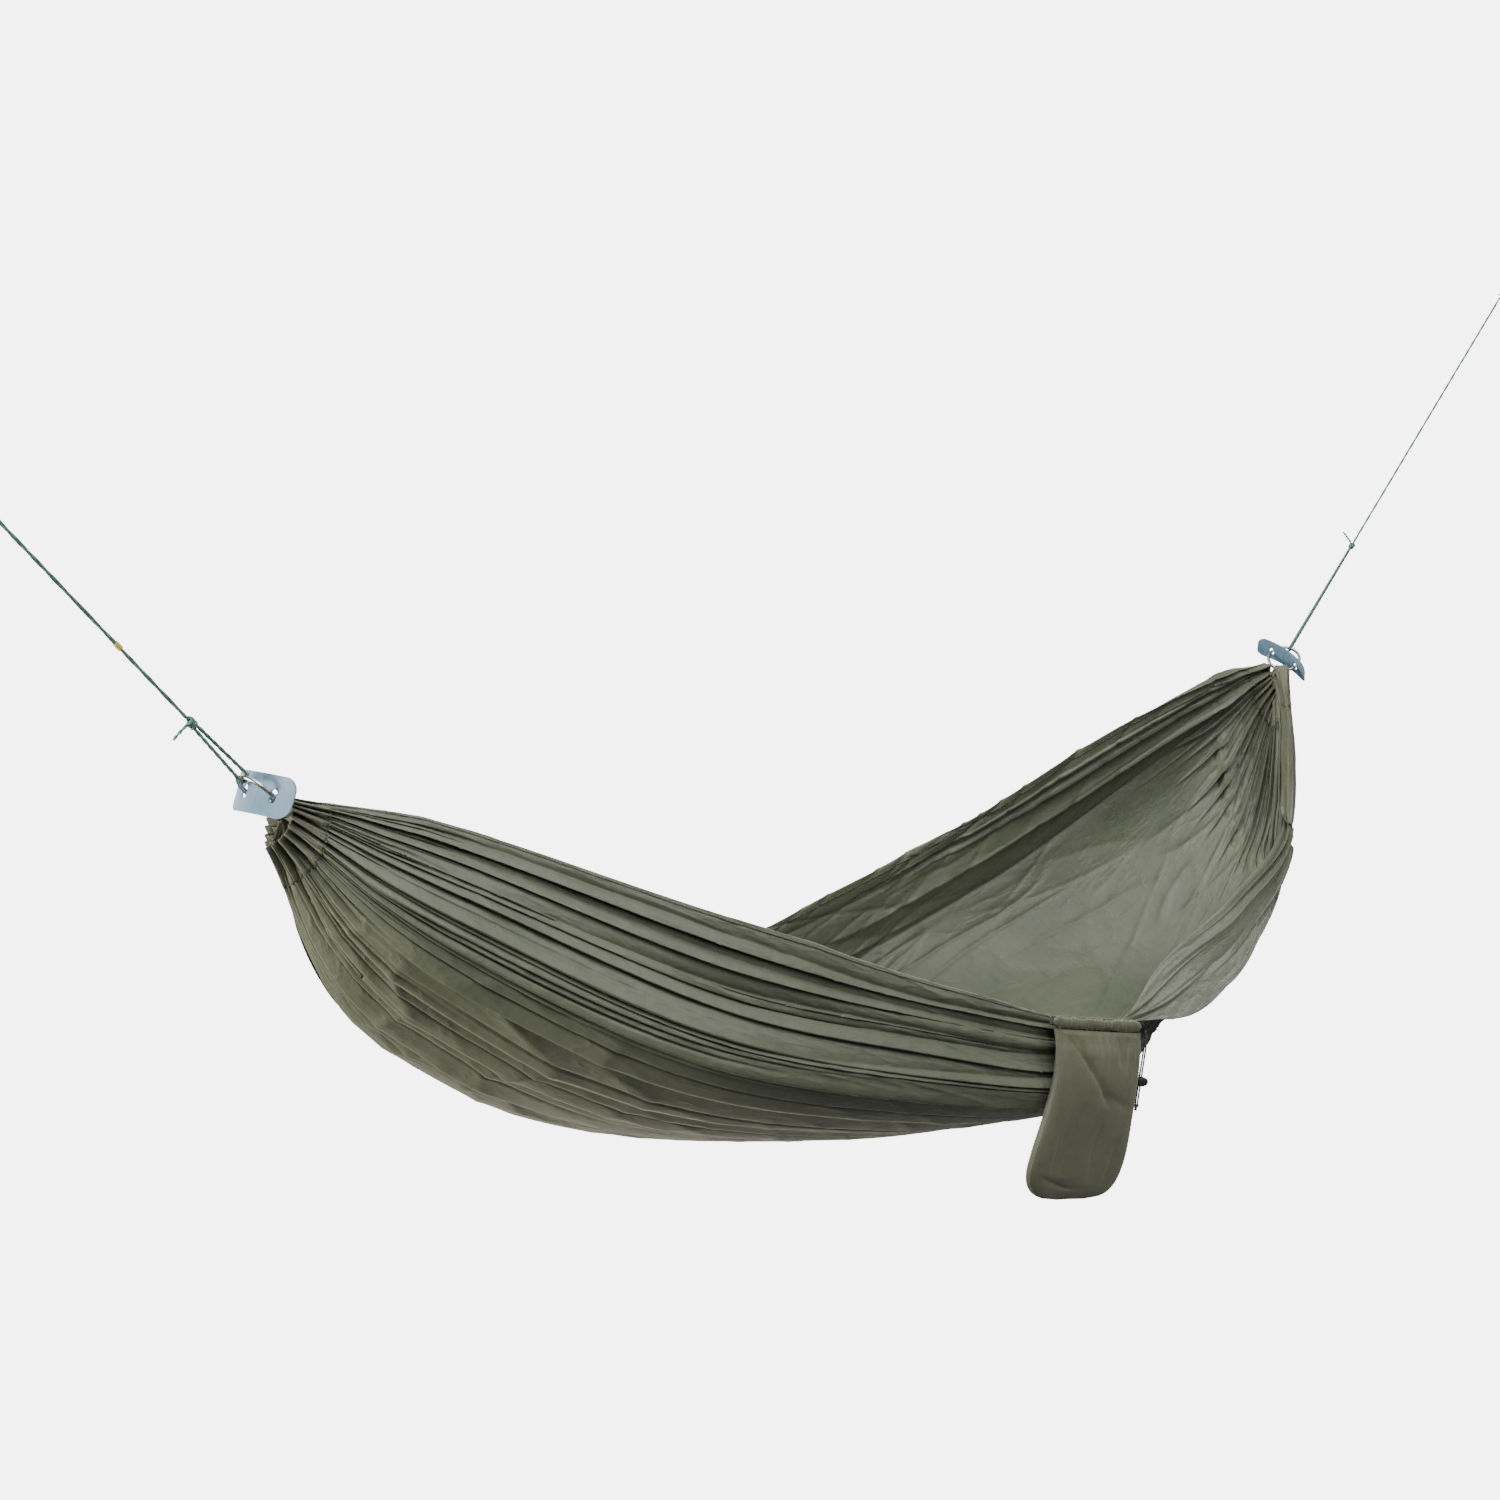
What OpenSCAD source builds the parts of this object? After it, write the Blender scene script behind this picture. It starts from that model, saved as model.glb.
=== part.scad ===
// Gathered-end camping hammock, hung between two anchors.
// Millimetres, +X from the left anchor to the right one, +Z up.
// The origin is the centre of the left anchor eye.

/* [Hammock] */
// Distance between the outer points of the two steel rings
ring_span = 2200; // [2000:20:2400]
// Widest distance between the two long edges of the trough
trough_width = 720; // [600:20:800]
// Depth of the trough below the rings
sag = 640; // [560:10:700]
// Thickness of the cloth shell
cloth_t = 1.2; // [1:0.1:2]
// Thickness of the folded side hems
hem_t = 2.4; // [2:0.1:3]

/* [Rings and pads] */
// Outer diameter of a steel ring
ring_od = 60; // [54:1:64]
// Diameter of the steel wire of a ring
ring_wire = 5.5; // [5:0.5:6]
// Length of an end pad, across the hammock
pad_length = 110; // [90:1:120]
// Height of an end pad
pad_height = 46; // [40:1:50]
// Thickness of an end pad
pad_t = 1.6; // [1.2:0.1:2]

/* [Ropes] */
// Diameter of the long ropes
rope_d = 4.5; // [4:0.1:5]
// Diameter of the doubled rope at each ring
bridle_d = 4; // [3.6:0.1:4]
// Inner radius of the thimble in each anchor eye
eye_r = 10; // [9:0.5:11]
// Length of each anchor eye along its axis
eye_length = 10; // [9:0.5:12]

/* [Stuff sack] */
// Width of the sack at its mouth
sack_width = 208; // [180:2:220]
// Height of the sack below its mouth casing
sack_height = 222; // [200:2:240]
// Greatest thickness of the sack
sack_t = 30; // [24:1:32]
// Diameter of the drawcord
drawcord_d = 2.4; // [2:0.1:2.6]

/* [Hidden] */
$fn = 64;

// Anchors and ring points
left_ring_top = [310, 0, -330];
right_ring_top = left_ring_top + [ring_span, 0, 0];
mid = (left_ring_top + right_ring_top) / 2;
right_eye = right_ring_top + [840, 0, 705];
left_rise = atan2(-left_ring_top[2], left_ring_top[0]);
right_rise = atan2(705, 840);

// Routes of the two long ropes, from the eye knot to the rope knot
LEFT_ROPE = [
    [34, 0, -36], [64, 0, -68], [94, 0, -100], [124, 0, -132],
    [154, 0, -164], [184, 0, -196], [214, 0, -228], [244, 0, -260]
];
RIGHT_ROPE = [
    [3312, 0, 343.2], [3292, 0, 326.4], [3252, 0, 292.8], [3212, 0, 259.2],
    [3172, 0, 225.6], [3132, 0, 192], [3092, 0, 158.4], [3052, 0, 124.8],
    [3012, 0, 91.2], [2972, 0, 57.6], [2932, 0, 24], [2892, 0, -9.6],
    [2852, 0, -43.2], [2812, 0, -76.8], [2772, 0, -110.4], [2732, 0, -144]
];

// Six lines along the cloth, from the front edge under the keel to the back edge.
// Each point is in percent of half the ring span, half the width and the sag.
// In the right half the front edge flops outwards over the crest.
FRONT_EDGE = [
    [-96, -7, 4], [-80, -28, 11], [-55, -75, 30], [-28, -94, 49], [0, -100, 65],
    [26, -92, 71], [54, -67, 67], [83, -31, 54], [95.5, -7, 4]
];
FRONT_CREST = [
    [-96, -7, 6], [-82, -34, 20], [-58, -78, 43], [-29, -99, 60], [0, -98, 71],
    [28, -70, 63], [60, -45, 59], [88, -24, 46], [95.5, -7, 6]
];
FRONT_BELLY = [
    [-96.5, -5, 10], [-85, -36, 32], [-62, -75, 58], [-31, -94, 74], [0, -92, 83],
    [31, -62, 80], [62, -38, 74], [88, -16, 54], [96, -5, 10]
];
KEEL = [
    [-97.5, 0, 12.5], [-87, 0, 45], [-64, 0, 73], [-33, 0, 90], [0, 0, 97],
    [32, 0, 95], [63, 0, 86], [87, 0, 55], [97, 0, 12.5]
];
BACK_BELLY = [
    [-96.5, 5, 9.5], [-84, 22, 40], [-58, 53, 66], [-31, 83, 83], [0, 89, 88],
    [30, 81, 81], [59, 56, 62], [85, 25, 33], [96, 5, 9.5]
];
BACK_EDGE = [
    [-96, 7, 4], [-83, 31, 47], [-54, 67, 66], [-26, 89, 69], [0, 92, 65],
    [26, 82, 53], [51, 54, 33], [78, 20, 10], [95.5, 7, 4]
];
GUIDES = [FRONT_EDGE, FRONT_CREST, FRONT_BELLY, KEEL, BACK_BELLY, BACK_EDGE];

// Shares of the cloth taken by the hems and the end channels
hem_share = 0.018;
channel_share = 0.028;

// Sack frame: on the front edge, with x along the edge and -y outwards
sack_origin = mid + [-40, -376, -410];
sack_lean = 13;
casing_r = 8;
tape_t = 6;
lock_x = sack_width / 2 + 10;
lock_y = -6;
lock_z = -74;
strand_gap = 1.6;
button_travel = 3;

olive = "#6f705c";
olive_dark = "#5c5f4d";
rope_green = "#2f5548";
steel = "#b9bcc0";
pad_grey = "#aebfca";

// ---- functions ----

function unit(v) = v / norm(v);
function blend4(a, b, c, d, f) =
    0.5 * (2 * b + (c - a) * f + (2 * a - 5 * b + 4 * c - d) * f * f
    + (3 * b - a - 3 * c + d) * f * f * f);
// A smooth curve through the points P, at share t of its length
function along(P, t) =
    let (n = len(P) - 1, x = min(max(t, 0), 1) * n, i = min(floor(x), n - 1),
         before = i > 0 ? P[i - 1] : 2 * P[i] - P[i + 1],
         after = i + 2 <= n ? P[i + 2] : 2 * P[i + 1] - P[i])
    blend4(before, P[i], P[i + 1], after, x - i);
function placed(p) =
    mid + [p[0] * ring_span / 200, p[1] * trough_width / 200, -p[2] * sag / 100];
// The middle of the cloth at share t along and share s across
function cloth(t, s) = placed(along([for (g = GUIDES) along(g, t)], s));
function cloth_normal(t, s) =
    unit(cross(cloth(t + 0.004, s) - cloth(t - 0.004, s),
               cloth(t, s + 0.01) - cloth(t, s - 0.01)));
function inside(x) = min(max(x, 0.005), 0.995);

// Faces that close a grid of rows by columns, given as two skins and four rims
function skin_faces(rows, cols, first, flip) = [
    for (i = [0:rows - 1], j = [0:cols - 1], k = [0:1])
        let (a = first + i * (cols + 1) + j, b = a + 1, c = a + cols + 1, d = c + 1,
             f = k == 0 ? [a, b, d] : [a, d, c])
        flip ? [f[2], f[1], f[0]] : f
];
function rim_faces(path, shift, flip) = [
    for (i = [0:len(path) - 2], k = [0:1])
        let (a = path[i], b = path[i + 1],
             f = k == 0 ? [a, b, b + shift] : [a, b + shift, a + shift])
        flip ? [f[2], f[1], f[0]] : f
];

// A thin shell that follows the cloth over a range of t and s
module cloth_shell(t0, t1, s0, s1, rows, cols, thick) {
    grid = [for (i = [0:rows], j = [0:cols]) [t0 + (t1 - t0) * i / rows, s0 + (s1 - s0) * j / cols]];
    normals = [for (g = grid) cloth_normal(inside(g[0]), inside(g[1])) * thick / 2];
    up = [for (k = [0:len(grid) - 1]) cloth(grid[k][0], grid[k][1]) + normals[k]];
    down = [for (k = [0:len(grid) - 1]) cloth(grid[k][0], grid[k][1]) - normals[k]];
    n = len(grid);
    w = cols + 1;
    polyhedron(
        points = concat(up, down),
        faces = concat(
            skin_faces(rows, cols, 0, false),
            skin_faces(rows, cols, n, true),
            rim_faces([for (i = [0:rows]) i * w], n, false),
            rim_faces([for (i = [0:rows]) i * w + cols], n, true),
            rim_faces([for (j = [0:cols]) j], n, true),
            rim_faces([for (j = [0:cols]) rows * w + j], n, false)
        ),
        convexity = 8
    );
}

// A round cord swept along points; side is a direction that the route never follows
module swept_cord(route, diameter, sides, side = [0, 1, 0]) {
    last = len(route) - 1;
    rings = [for (i = [0:last])
        let (dir = unit(route[min(i + 1, last)] - route[max(i - 1, 0)]),
             u = unit(cross(side, dir)), v = cross(dir, u))
        for (k = [0:sides - 1])
            route[i] + diameter / 2 * (cos(360 * k / sides) * u + sin(360 * k / sides) * v)];
    polyhedron(
        points = rings,
        faces = concat(
            [[for (k = [0:sides - 1]) k]],
            [[for (k = [0:sides - 1]) last * sides + sides - 1 - k]],
            [for (i = [0:last - 1], k = [0:sides - 1])
                [i * sides + k, (i + 1) * sides + k,
                 (i + 1) * sides + (k + 1) % sides, i * sides + (k + 1) % sides]]
        ),
        convexity = 4
    );
}

// Places children with +Z along a rope that rises at an angle, towards the anchor
module on_left_rope(distance) {
    rotate([0, left_rise - 90, 0])
        translate([0, 0, -distance])
            children();
}
module on_right_rope(distance) {
    translate(right_eye)
        rotate([0, 90 - right_rise, 0])
            translate([0, 0, -distance])
                children();
}
// The right ring hangs twisted about its rope
right_twist = 21;
module on_right_ring() {
    on_right_rope(right_drop)
        rotate([0, 0, right_twist])
            children();
}

// ---- anchor eyes ----

module thimble() {
    groove = eye_r + 3;
    flange = eye_r + 6;
    half = eye_length / 2;
    color(steel)
        rotate([90, 0, 0])
            rotate_extrude()
                polygon([
                    [eye_r, -half], [flange, -half], [flange, 1 - half], [groove, -2],
                    [groove, 2], [flange, half - 1], [flange, half], [eye_r, half]
                ]);
}
module eye_loop() {
    loop_r = eye_r + 3.1 + rope_d / 2;
    color(rope_green) {
        rotate([90, 0, 0])
            rotate_extrude()
                translate([loop_r, 0])
                    circle(d = rope_d, $fn = 24);
        eye_knot();
    }
}
module eye_knot() {
    rotate_extrude()
        polygon([[0, -47.5], [3.5, -47.5], [5.5, -45], [5.5, -25], [2, -20], [2, -14.5], [0, -14.5]]);
}
module left_thimble() thimble();
module right_thimble() translate(right_eye) thimble();
module left_eye_loop() on_left_rope(0) eye_loop();
module right_eye_loop() on_right_rope(0) eye_loop();

// ---- ropes ----

left_drop = norm(left_ring_top);
right_drop = norm(right_eye - right_ring_top);
knot_half = 8;
left_knot_at = norm(LEFT_ROPE[len(LEFT_ROPE) - 1]) + knot_half;
right_knot_at = norm(right_eye - RIGHT_ROPE[len(RIGHT_ROPE) - 1]) + knot_half;

module left_tree_rope() color(rope_green) swept_cord(LEFT_ROPE, rope_d, 10);
module right_tree_rope() color(rope_green) swept_cord(RIGHT_ROPE, rope_d, 10);

// A stopper knot with its cut tail, lying along the rope
module rope_knot(tail_angle, tail_length) {
    color(rope_green) {
        rotate_extrude()
            polygon([
                [0, -knot_half], [4.5, -knot_half], [6.5, -4], [5.5, 0], [6.5, 4],
                [4.5, knot_half], [0, knot_half]
            ]);
        translate([0, 0, 1])
            rotate([0, tail_angle, 0])
                cylinder(d = rope_d, h = tail_length);
    }
}
module left_rope_knot() on_left_rope(left_knot_at) rope_knot(-80, 26);
module right_rope_knot() on_right_rope(right_knot_at) rope_knot(-100, 44);

// The doubled rope: two strands from the knot, round the wire of the ring
bend_r = ring_wire / 2 + bridle_d / 2 + 0.5;
function bridle_route(reach) = concat(
    [for (k = [0:4]) [2.2 + (bend_r - 2.2) * k / 4, 0, reach * (1 - k / 4)]],
    [for (a = [20:20:160]) [bend_r * cos(a), 0, -bend_r * sin(a)]],
    [for (k = [0:4]) [-bend_r + (bend_r - 2.2) * k / 4, 0, reach * k / 4]]
);
module left_bridle()
    color(rope_green)
        on_left_rope(left_drop)
            swept_cord(bridle_route(left_drop - left_knot_at - knot_half), bridle_d, 10);
module right_bridle()
    color(rope_green)
        on_right_ring()
            swept_cord(bridle_route(right_drop - right_knot_at - knot_half), bridle_d, 10);

module rope_marker()
    color("#d8b62c")
        on_left_rope(248)
            difference() {
                cylinder(r = 3.4, h = 9, center = true);
                cylinder(r = rope_d / 2 + 0.05, h = 20, center = true);
            }

// ---- rings and end pads ----

ring_r = (ring_od - ring_wire) / 2;
pad_rise = 2.5;
left_pad_tilt = -27;
right_pad_roll = 17;

module steel_ring()
    color(steel)
        translate([0, 0, -ring_r])
            rotate([0, 90, 0])
                rotate_extrude()
                    translate([ring_r, 0])
                        circle(d = ring_wire, $fn = 24);
module left_ring() on_left_rope(left_drop) steel_ring();
module right_ring() on_right_ring() steel_ring();

// A rounded sheet, bowed over the gather, with two holes for the ring
module end_pad() {
    bow_r = 150;
    slot_r = ring_wire / 2 + 1.6;
    corner = 14;
    color(pad_grey)
        difference() {
            intersection() {
                translate([0, 0, -bow_r])
                    rotate([0, 90, 0])
                        difference() {
                            cylinder(r = bow_r, h = pad_height, center = true, $fn = 128);
                            cylinder(r = bow_r - pad_t, h = pad_height + 2, center = true, $fn = 128);
                        }
                translate([0, 0, -40])
                    linear_extrude(60)
                        offset(corner)
                            square([pad_height - 2 * corner, pad_length - 2 * corner], center = true);
            }
            for (side = [-1, 1])
                translate([0, side * ring_r, -30])
                    cylinder(r = slot_r, h = 60);
        }
}
// Both pads sit at the middle of their ring and lean as the cloth pulls them
module left_end_pad()
    on_left_rope(left_drop)
        translate([0, 0, -ring_r])
            rotate([0, left_pad_tilt, 0])
                translate([0, 0, pad_rise])
                    end_pad();
module right_end_pad()
    on_right_ring()
        translate([0, 0, -ring_r])
            rotate([right_pad_roll, 0, 0])
                translate([0, 0, pad_rise])
                    end_pad();

// ---- gathered ends ----

// The cord that gathers the end channel, looped round the far side of the ring
gather_d = 4;
gather_bend = ring_wire / 2 + gather_d / 2 + 0.5;
gather_reach = 22;
function gather_route(reach) = concat(
    [for (k = [0:2]) [gather_bend, 0, reach * (k / 2 - 1)]],
    [for (a = [30:30:150]) [gather_bend * cos(a), 0, gather_bend * sin(a)]],
    [for (k = [0:2]) [-gather_bend, 0, -reach * k / 2]]
);
module gather_cord()
    color(olive_dark)
        translate([0, 0, -2 * ring_r])
            swept_cord(gather_route(gather_reach), gather_d, 10);
module left_gather_cord() on_left_rope(left_drop) gather_cord();
module right_gather_cord() on_right_ring() gather_cord();

module left_end_channel()
    color(olive_dark)
        cloth_shell(0, channel_share, 0, 1, 3, 28, 3);
module right_end_channel()
    color(olive_dark)
        cloth_shell(1 - channel_share, 1, 0, 1, 3, 28, 3);
module canopy()
    color(olive)
        cloth_shell(channel_share, 1 - channel_share, hem_share, 1 - hem_share, 56, 30, cloth_t);
module front_side_hem()
    color(olive_dark)
        cloth_shell(channel_share, 1 - channel_share, 0, hem_share, 56, 1, hem_t);
module back_side_hem()
    color(olive_dark)
        cloth_shell(channel_share, 1 - channel_share, 1 - hem_share, 1, 56, 1, hem_t);

// ---- stuff sack ----

module in_sack() {
    translate(sack_origin)
        rotate([0, sack_lean, 0])
            children();
}
module sack_hang_tape()
    color(olive_dark)
        in_sack()
            translate([-sack_width / 2 + 6, casing_r + 0.6, -5])
                cube([sack_width - 12, tape_t, 12]);
module sack_mouth_casing()
    color(olive)
        in_sack()
            rotate([0, 90, 0])
                cylinder(r = casing_r, h = sack_width, center = true, $fn = 32);

// Sections of the bag from its mouth down: depth, width and thickness in percent,
// then the shifts of its middle sideways and outwards
SACK_SECTIONS = [
    [0, 99, 16, 0, -1], [12, 95, 60, -3, -10], [30, 94, 92, -9, -16], [50, 98, 100, -17, -18],
    [70, 104, 96, -26, -19], [84, 104, 82, -31, -18], [93, 93, 60, -31, -17],
    [98, 72, 38, -28, -16], [100, 45, 16, -26, -16]
];
function sack_ring(section, sides) = [
    for (k = [0:sides - 1])
        let (a = 360 * k / sides, w = sack_width / 200 * section[1], t = sack_t / 200 * section[2])
        [section[3] + w * cos(a), section[4] + t * sign(sin(a)) * pow(abs(sin(a)), 0.8),
         -casing_r - sack_height * section[0] / 100]
];
module sack_bag() {
    sides = 32;
    last = len(SACK_SECTIONS) - 1;
    color(olive)
        in_sack()
            polyhedron(
                points = [for (s = SACK_SECTIONS) each sack_ring(s, sides)],
                faces = concat(
                    [[for (k = [0:sides - 1]) sides - 1 - k]],
                    [[for (k = [0:sides - 1]) last * sides + k]],
                    [for (i = [0:last - 1], k = [0:sides - 1], h = [0:1])
                        let (a = i * sides + k, b = i * sides + (k + 1) % sides,
                             c = a + sides, d = b + sides)
                        h == 0 ? [a, b, d] : [a, d, c]]
                ),
                convexity = 4
            );
}

// Eyelet on the right end of the casing, where the drawcord comes out
module sack_eyelet()
    color("#2a2c28")
        in_sack()
            translate([sack_width / 2, 0, 0])
                rotate([0, 90, 0])
                    rotate_extrude()
                        translate([3.6, 0])
                            square([3, 1.2]);

// The drawcord's two strands, out of the eyelet and down through the lock
DRAWCORD = [
    [0, 0, 0], [3, 0, -0.6], [6.2, -1.5, -3], [8.6, -3.5, -8], [9.7, -5.2, -14],
    [10, -6, -22], [10, -6, -40], [10, -6, -60], [10, -6, -80], [10, -6, -104]
];
cord_end = -104;
module sack_drawcord()
    color("#202220")
        in_sack()
            for (side = [-1, 1])
                swept_cord([for (p = DRAWCORD) p + [sack_width / 2, side * strand_gap, 0]],
                           drawcord_d, 8);
module drawcord_end_knot()
    color("#202220")
        in_sack()
            translate([lock_x, lock_y, cord_end - 3])
                sphere(r = 4.5, $fn = 32);

// ---- cord lock ----

lock_r = 6.8;
bore_r = 4.8;
module cord_hole(length) {
    hull()
        for (y = [-1, 1], x = [0, length])
            translate([x, y * strand_gap, 0])
                cylinder(r = drawcord_d / 2 + 0.45, h = 30, center = true, $fn = 24);
}
module at_lock() {
    in_sack()
        translate([lock_x, lock_y, lock_z])
            children();
}
module cord_lock_body()
    color("#1c1d1c")
        at_lock()
            difference() {
                rotate([0, 90, 0])
                    translate([0, 0, -12])
                        cylinder(r = lock_r, h = 19);
                rotate([0, 90, 0])
                    translate([0, 0, -10])
                        cylinder(r = bore_r, h = 20);
                cord_hole(0);
            }
module cord_lock_button()
    color("#2a2b2a")
        at_lock()
            difference() {
                rotate([0, 90, 0]) {
                    translate([0, 0, -3.5])
                        cylinder(r = bore_r - 0.35, h = 13.9);
                    translate([0, 0, 10.4])
                        cylinder(r = 5.6, h = 2.2);
                }
                cord_hole(button_travel);
            }
module cord_lock_spring()
    color("silver")
        at_lock()
            for (turn = [0:2])
                translate([-9.6 + turn, 0, 0])
                    rotate([0, 90, 0])
                        rotate_extrude()
                            translate([3.4, 0])
                                circle(d = 0.7, $fn = 16);

left_thimble();
left_eye_loop();
right_thimble();
right_eye_loop();
left_tree_rope();
right_tree_rope();
left_rope_knot();
right_rope_knot();
left_bridle();
right_bridle();
rope_marker();
left_ring();
right_ring();
left_end_pad();
right_end_pad();
left_gather_cord();
right_gather_cord();
left_end_channel();
right_end_channel();
canopy();
front_side_hem();
back_side_hem();
sack_hang_tape();
sack_mouth_casing();
sack_bag();
sack_eyelet();
sack_drawcord();
drawcord_end_knot();
cord_lock_body();
cord_lock_button();
cord_lock_spring();
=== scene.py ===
"""Looks of a gathered-end camping hammock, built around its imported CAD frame.

Metres. The origin is the left anchor eye, +X runs to the right anchor eye, +Y to the
back edge of the trough, and +Z is up.
"""

from math import cos, hypot, pi, radians, sin, tau

import bpy
import numpy as np
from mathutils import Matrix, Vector

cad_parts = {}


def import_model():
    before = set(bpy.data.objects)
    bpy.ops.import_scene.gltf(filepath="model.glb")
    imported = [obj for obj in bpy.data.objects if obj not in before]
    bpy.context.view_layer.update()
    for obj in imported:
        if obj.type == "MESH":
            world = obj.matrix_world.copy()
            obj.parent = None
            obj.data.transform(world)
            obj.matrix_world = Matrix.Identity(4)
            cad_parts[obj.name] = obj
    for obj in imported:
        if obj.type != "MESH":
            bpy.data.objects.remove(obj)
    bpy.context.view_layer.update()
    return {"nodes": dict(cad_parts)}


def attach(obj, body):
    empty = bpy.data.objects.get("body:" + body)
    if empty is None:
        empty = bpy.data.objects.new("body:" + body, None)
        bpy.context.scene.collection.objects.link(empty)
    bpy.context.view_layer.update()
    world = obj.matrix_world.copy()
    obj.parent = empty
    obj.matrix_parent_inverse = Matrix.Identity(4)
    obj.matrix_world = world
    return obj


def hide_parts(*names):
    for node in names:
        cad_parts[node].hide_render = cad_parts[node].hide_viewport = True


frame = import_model()
scene = bpy.context.scene
MM = 0.001

# ---- camera

CAMERA_PLACE = (-0.888, -1.910, -0.001)
CAMERA_HEADING = 46.0  # degrees from +Y towards +X
CAMERA_DROP = 7.8  # degrees below the horizon
CAMERA_LENS = 49.68


def make_camera():
    data = bpy.data.cameras.new("camera")
    data.lens = CAMERA_LENS
    data.sensor_width = 36.0
    cam = bpy.data.objects.new("camera", data)
    cam.location = CAMERA_PLACE
    cam.rotation_euler = (
        radians(90 - CAMERA_DROP), 0, radians(-CAMERA_HEADING))
    scene.collection.objects.link(cam)
    scene.camera = cam


make_camera()

# ---- materials


class Look:
    """A node material with a few helpers to wire it."""

    def __init__(self, name):
        self.mat = bpy.data.materials.new(name)
        self.mat.use_nodes = True
        self.tree = self.mat.node_tree
        self.bsdf = self.tree.nodes["Principled BSDF"]
        self.coords = self.add("ShaderNodeTexCoord")

    def add(self, kind, **sockets):
        node = self.tree.nodes.new(kind)
        for key, value in sockets.items():
            node.inputs[key].default_value = value
        return node

    def link(self, source, target):
        self.tree.links.new(source, target)

    def place(self, space="Object", scale=(1, 1, 1), turn=0.0):
        """Texture coordinates, scaled and turned about Z."""
        m = self.add("ShaderNodeMapping", Scale=scale, Rotation=(0, 0, turn))
        self.link(self.coords.outputs[space], m.inputs["Vector"])
        return m.outputs["Vector"]

    def noise(self, where, scale, detail=4.0, roughness=0.55):
        n = self.add("ShaderNodeTexNoise", Scale=scale, Detail=detail, Roughness=roughness)
        self.link(where, n.inputs["Vector"])
        return n.outputs["Fac"]

    def grain(self, scale, detail):
        return self.noise(self.place(), scale, detail)

    def wave(self, where, scale, direction):
        w = self.add("ShaderNodeTexWave", Scale=scale, Distortion=0.0)
        w.bands_direction = direction
        self.link(where, w.inputs["Vector"])
        return w.outputs["Fac"]

    def math(self, operation, a, b=None):
        m = self.add("ShaderNodeMath")
        m.operation = operation
        for i, value in enumerate((a,) if b is None else (a, b)):
            if isinstance(value, (int, float)):
                m.inputs[i].default_value = value
            else:
                self.link(value, m.inputs[i])
        return m.outputs["Value"]

    def ramp(self, source, stops):
        r = self.add("ShaderNodeValToRGB")
        while len(r.color_ramp.elements) < len(stops):
            r.color_ramp.elements.new(0.5)
        for e, (at, colour) in zip(r.color_ramp.elements, stops):
            e.position = at
            e.color = (*colour, 1)
        self.link(source, r.inputs["Fac"])
        return r.outputs["Color"]

    def span(self, source, low, high):
        m = self.add("ShaderNodeMapRange", **{"To Min": low, "To Max": high})
        self.link(source, m.inputs["Value"])
        return m.outputs["Result"]

    def bump(self, source, strength, distance, below=None):
        b = self.add("ShaderNodeBump", Strength=strength, Distance=distance)
        self.link(source, b.inputs["Height"])
        if below is not None:
            self.link(below, b.inputs["Normal"])
        return b.outputs["Normal"]

    def set(self, **values):
        for key, value in values.items():
            self.bsdf.inputs[key.replace("_", " ")].default_value = value

    def wire(self, colour=None, roughness=None, normal=None):
        for name, source in (
                ("Base Color", colour), ("Roughness", roughness), ("Normal", normal)):
            if source is not None:
                self.link(source, self.bsdf.inputs[name])


WAVE_PERIOD = 0.31416  # Blender's wave texture repeats after this length at scale 1


def wave_scale(period):
    return WAVE_PERIOD / period


THREAD_GAP = 0.7 * MM


def nylon(name, dark, light, creased=0.55):
    """Thin calendered taffeta: a fine plain weave, soft sheen and small creases."""
    k = Look(name)
    flat = k.place("UV")
    warp = k.wave(flat, wave_scale(THREAD_GAP), "X")
    weft = k.wave(flat, wave_scale(THREAD_GAP), "Y")
    weave = k.math("MULTIPLY", warp, weft)
    mottle = k.grain(7, 5)
    fine = k.noise(k.place("UV", (30, 90, 1), 0.5), 1.4, 6, 0.6)
    streak = k.noise(k.place("UV", (5, 60, 1)), 1.0, 3)
    tone = k.math("ADD", k.math("MULTIPLY", mottle, 0.6),
                  k.math("ADD", k.math("MULTIPLY", fine, 0.25), k.math("MULTIPLY", streak, 0.15)))
    k.set(Sheen_Weight=0.22, Sheen_Roughness=0.4, Sheen_Tint=(0.80, 0.80, 0.66, 1),
          Specular_IOR_Level=0.42)
    sharp = k.math("ABSOLUTE", k.math("SUBTRACT", k.noise(k.place("UV", (16, 7, 1), 0.6), 1.0, 4), 0.5))
    crease = k.math("POWER", k.math("SUBTRACT", 1.0, sharp), 14.0)
    crinkle = k.bump(crease, creased, 1.6 * MM, k.bump(fine, 0.35, 1.2 * MM))
    k.wire(
        colour=k.ramp(tone, [(0.30, dark), (0.72, light)]),
        roughness=k.span(mottle, 0.40, 0.54),
        normal=k.bump(weave, 0.16, 0.15 * MM, crinkle))
    return k.mat


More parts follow.
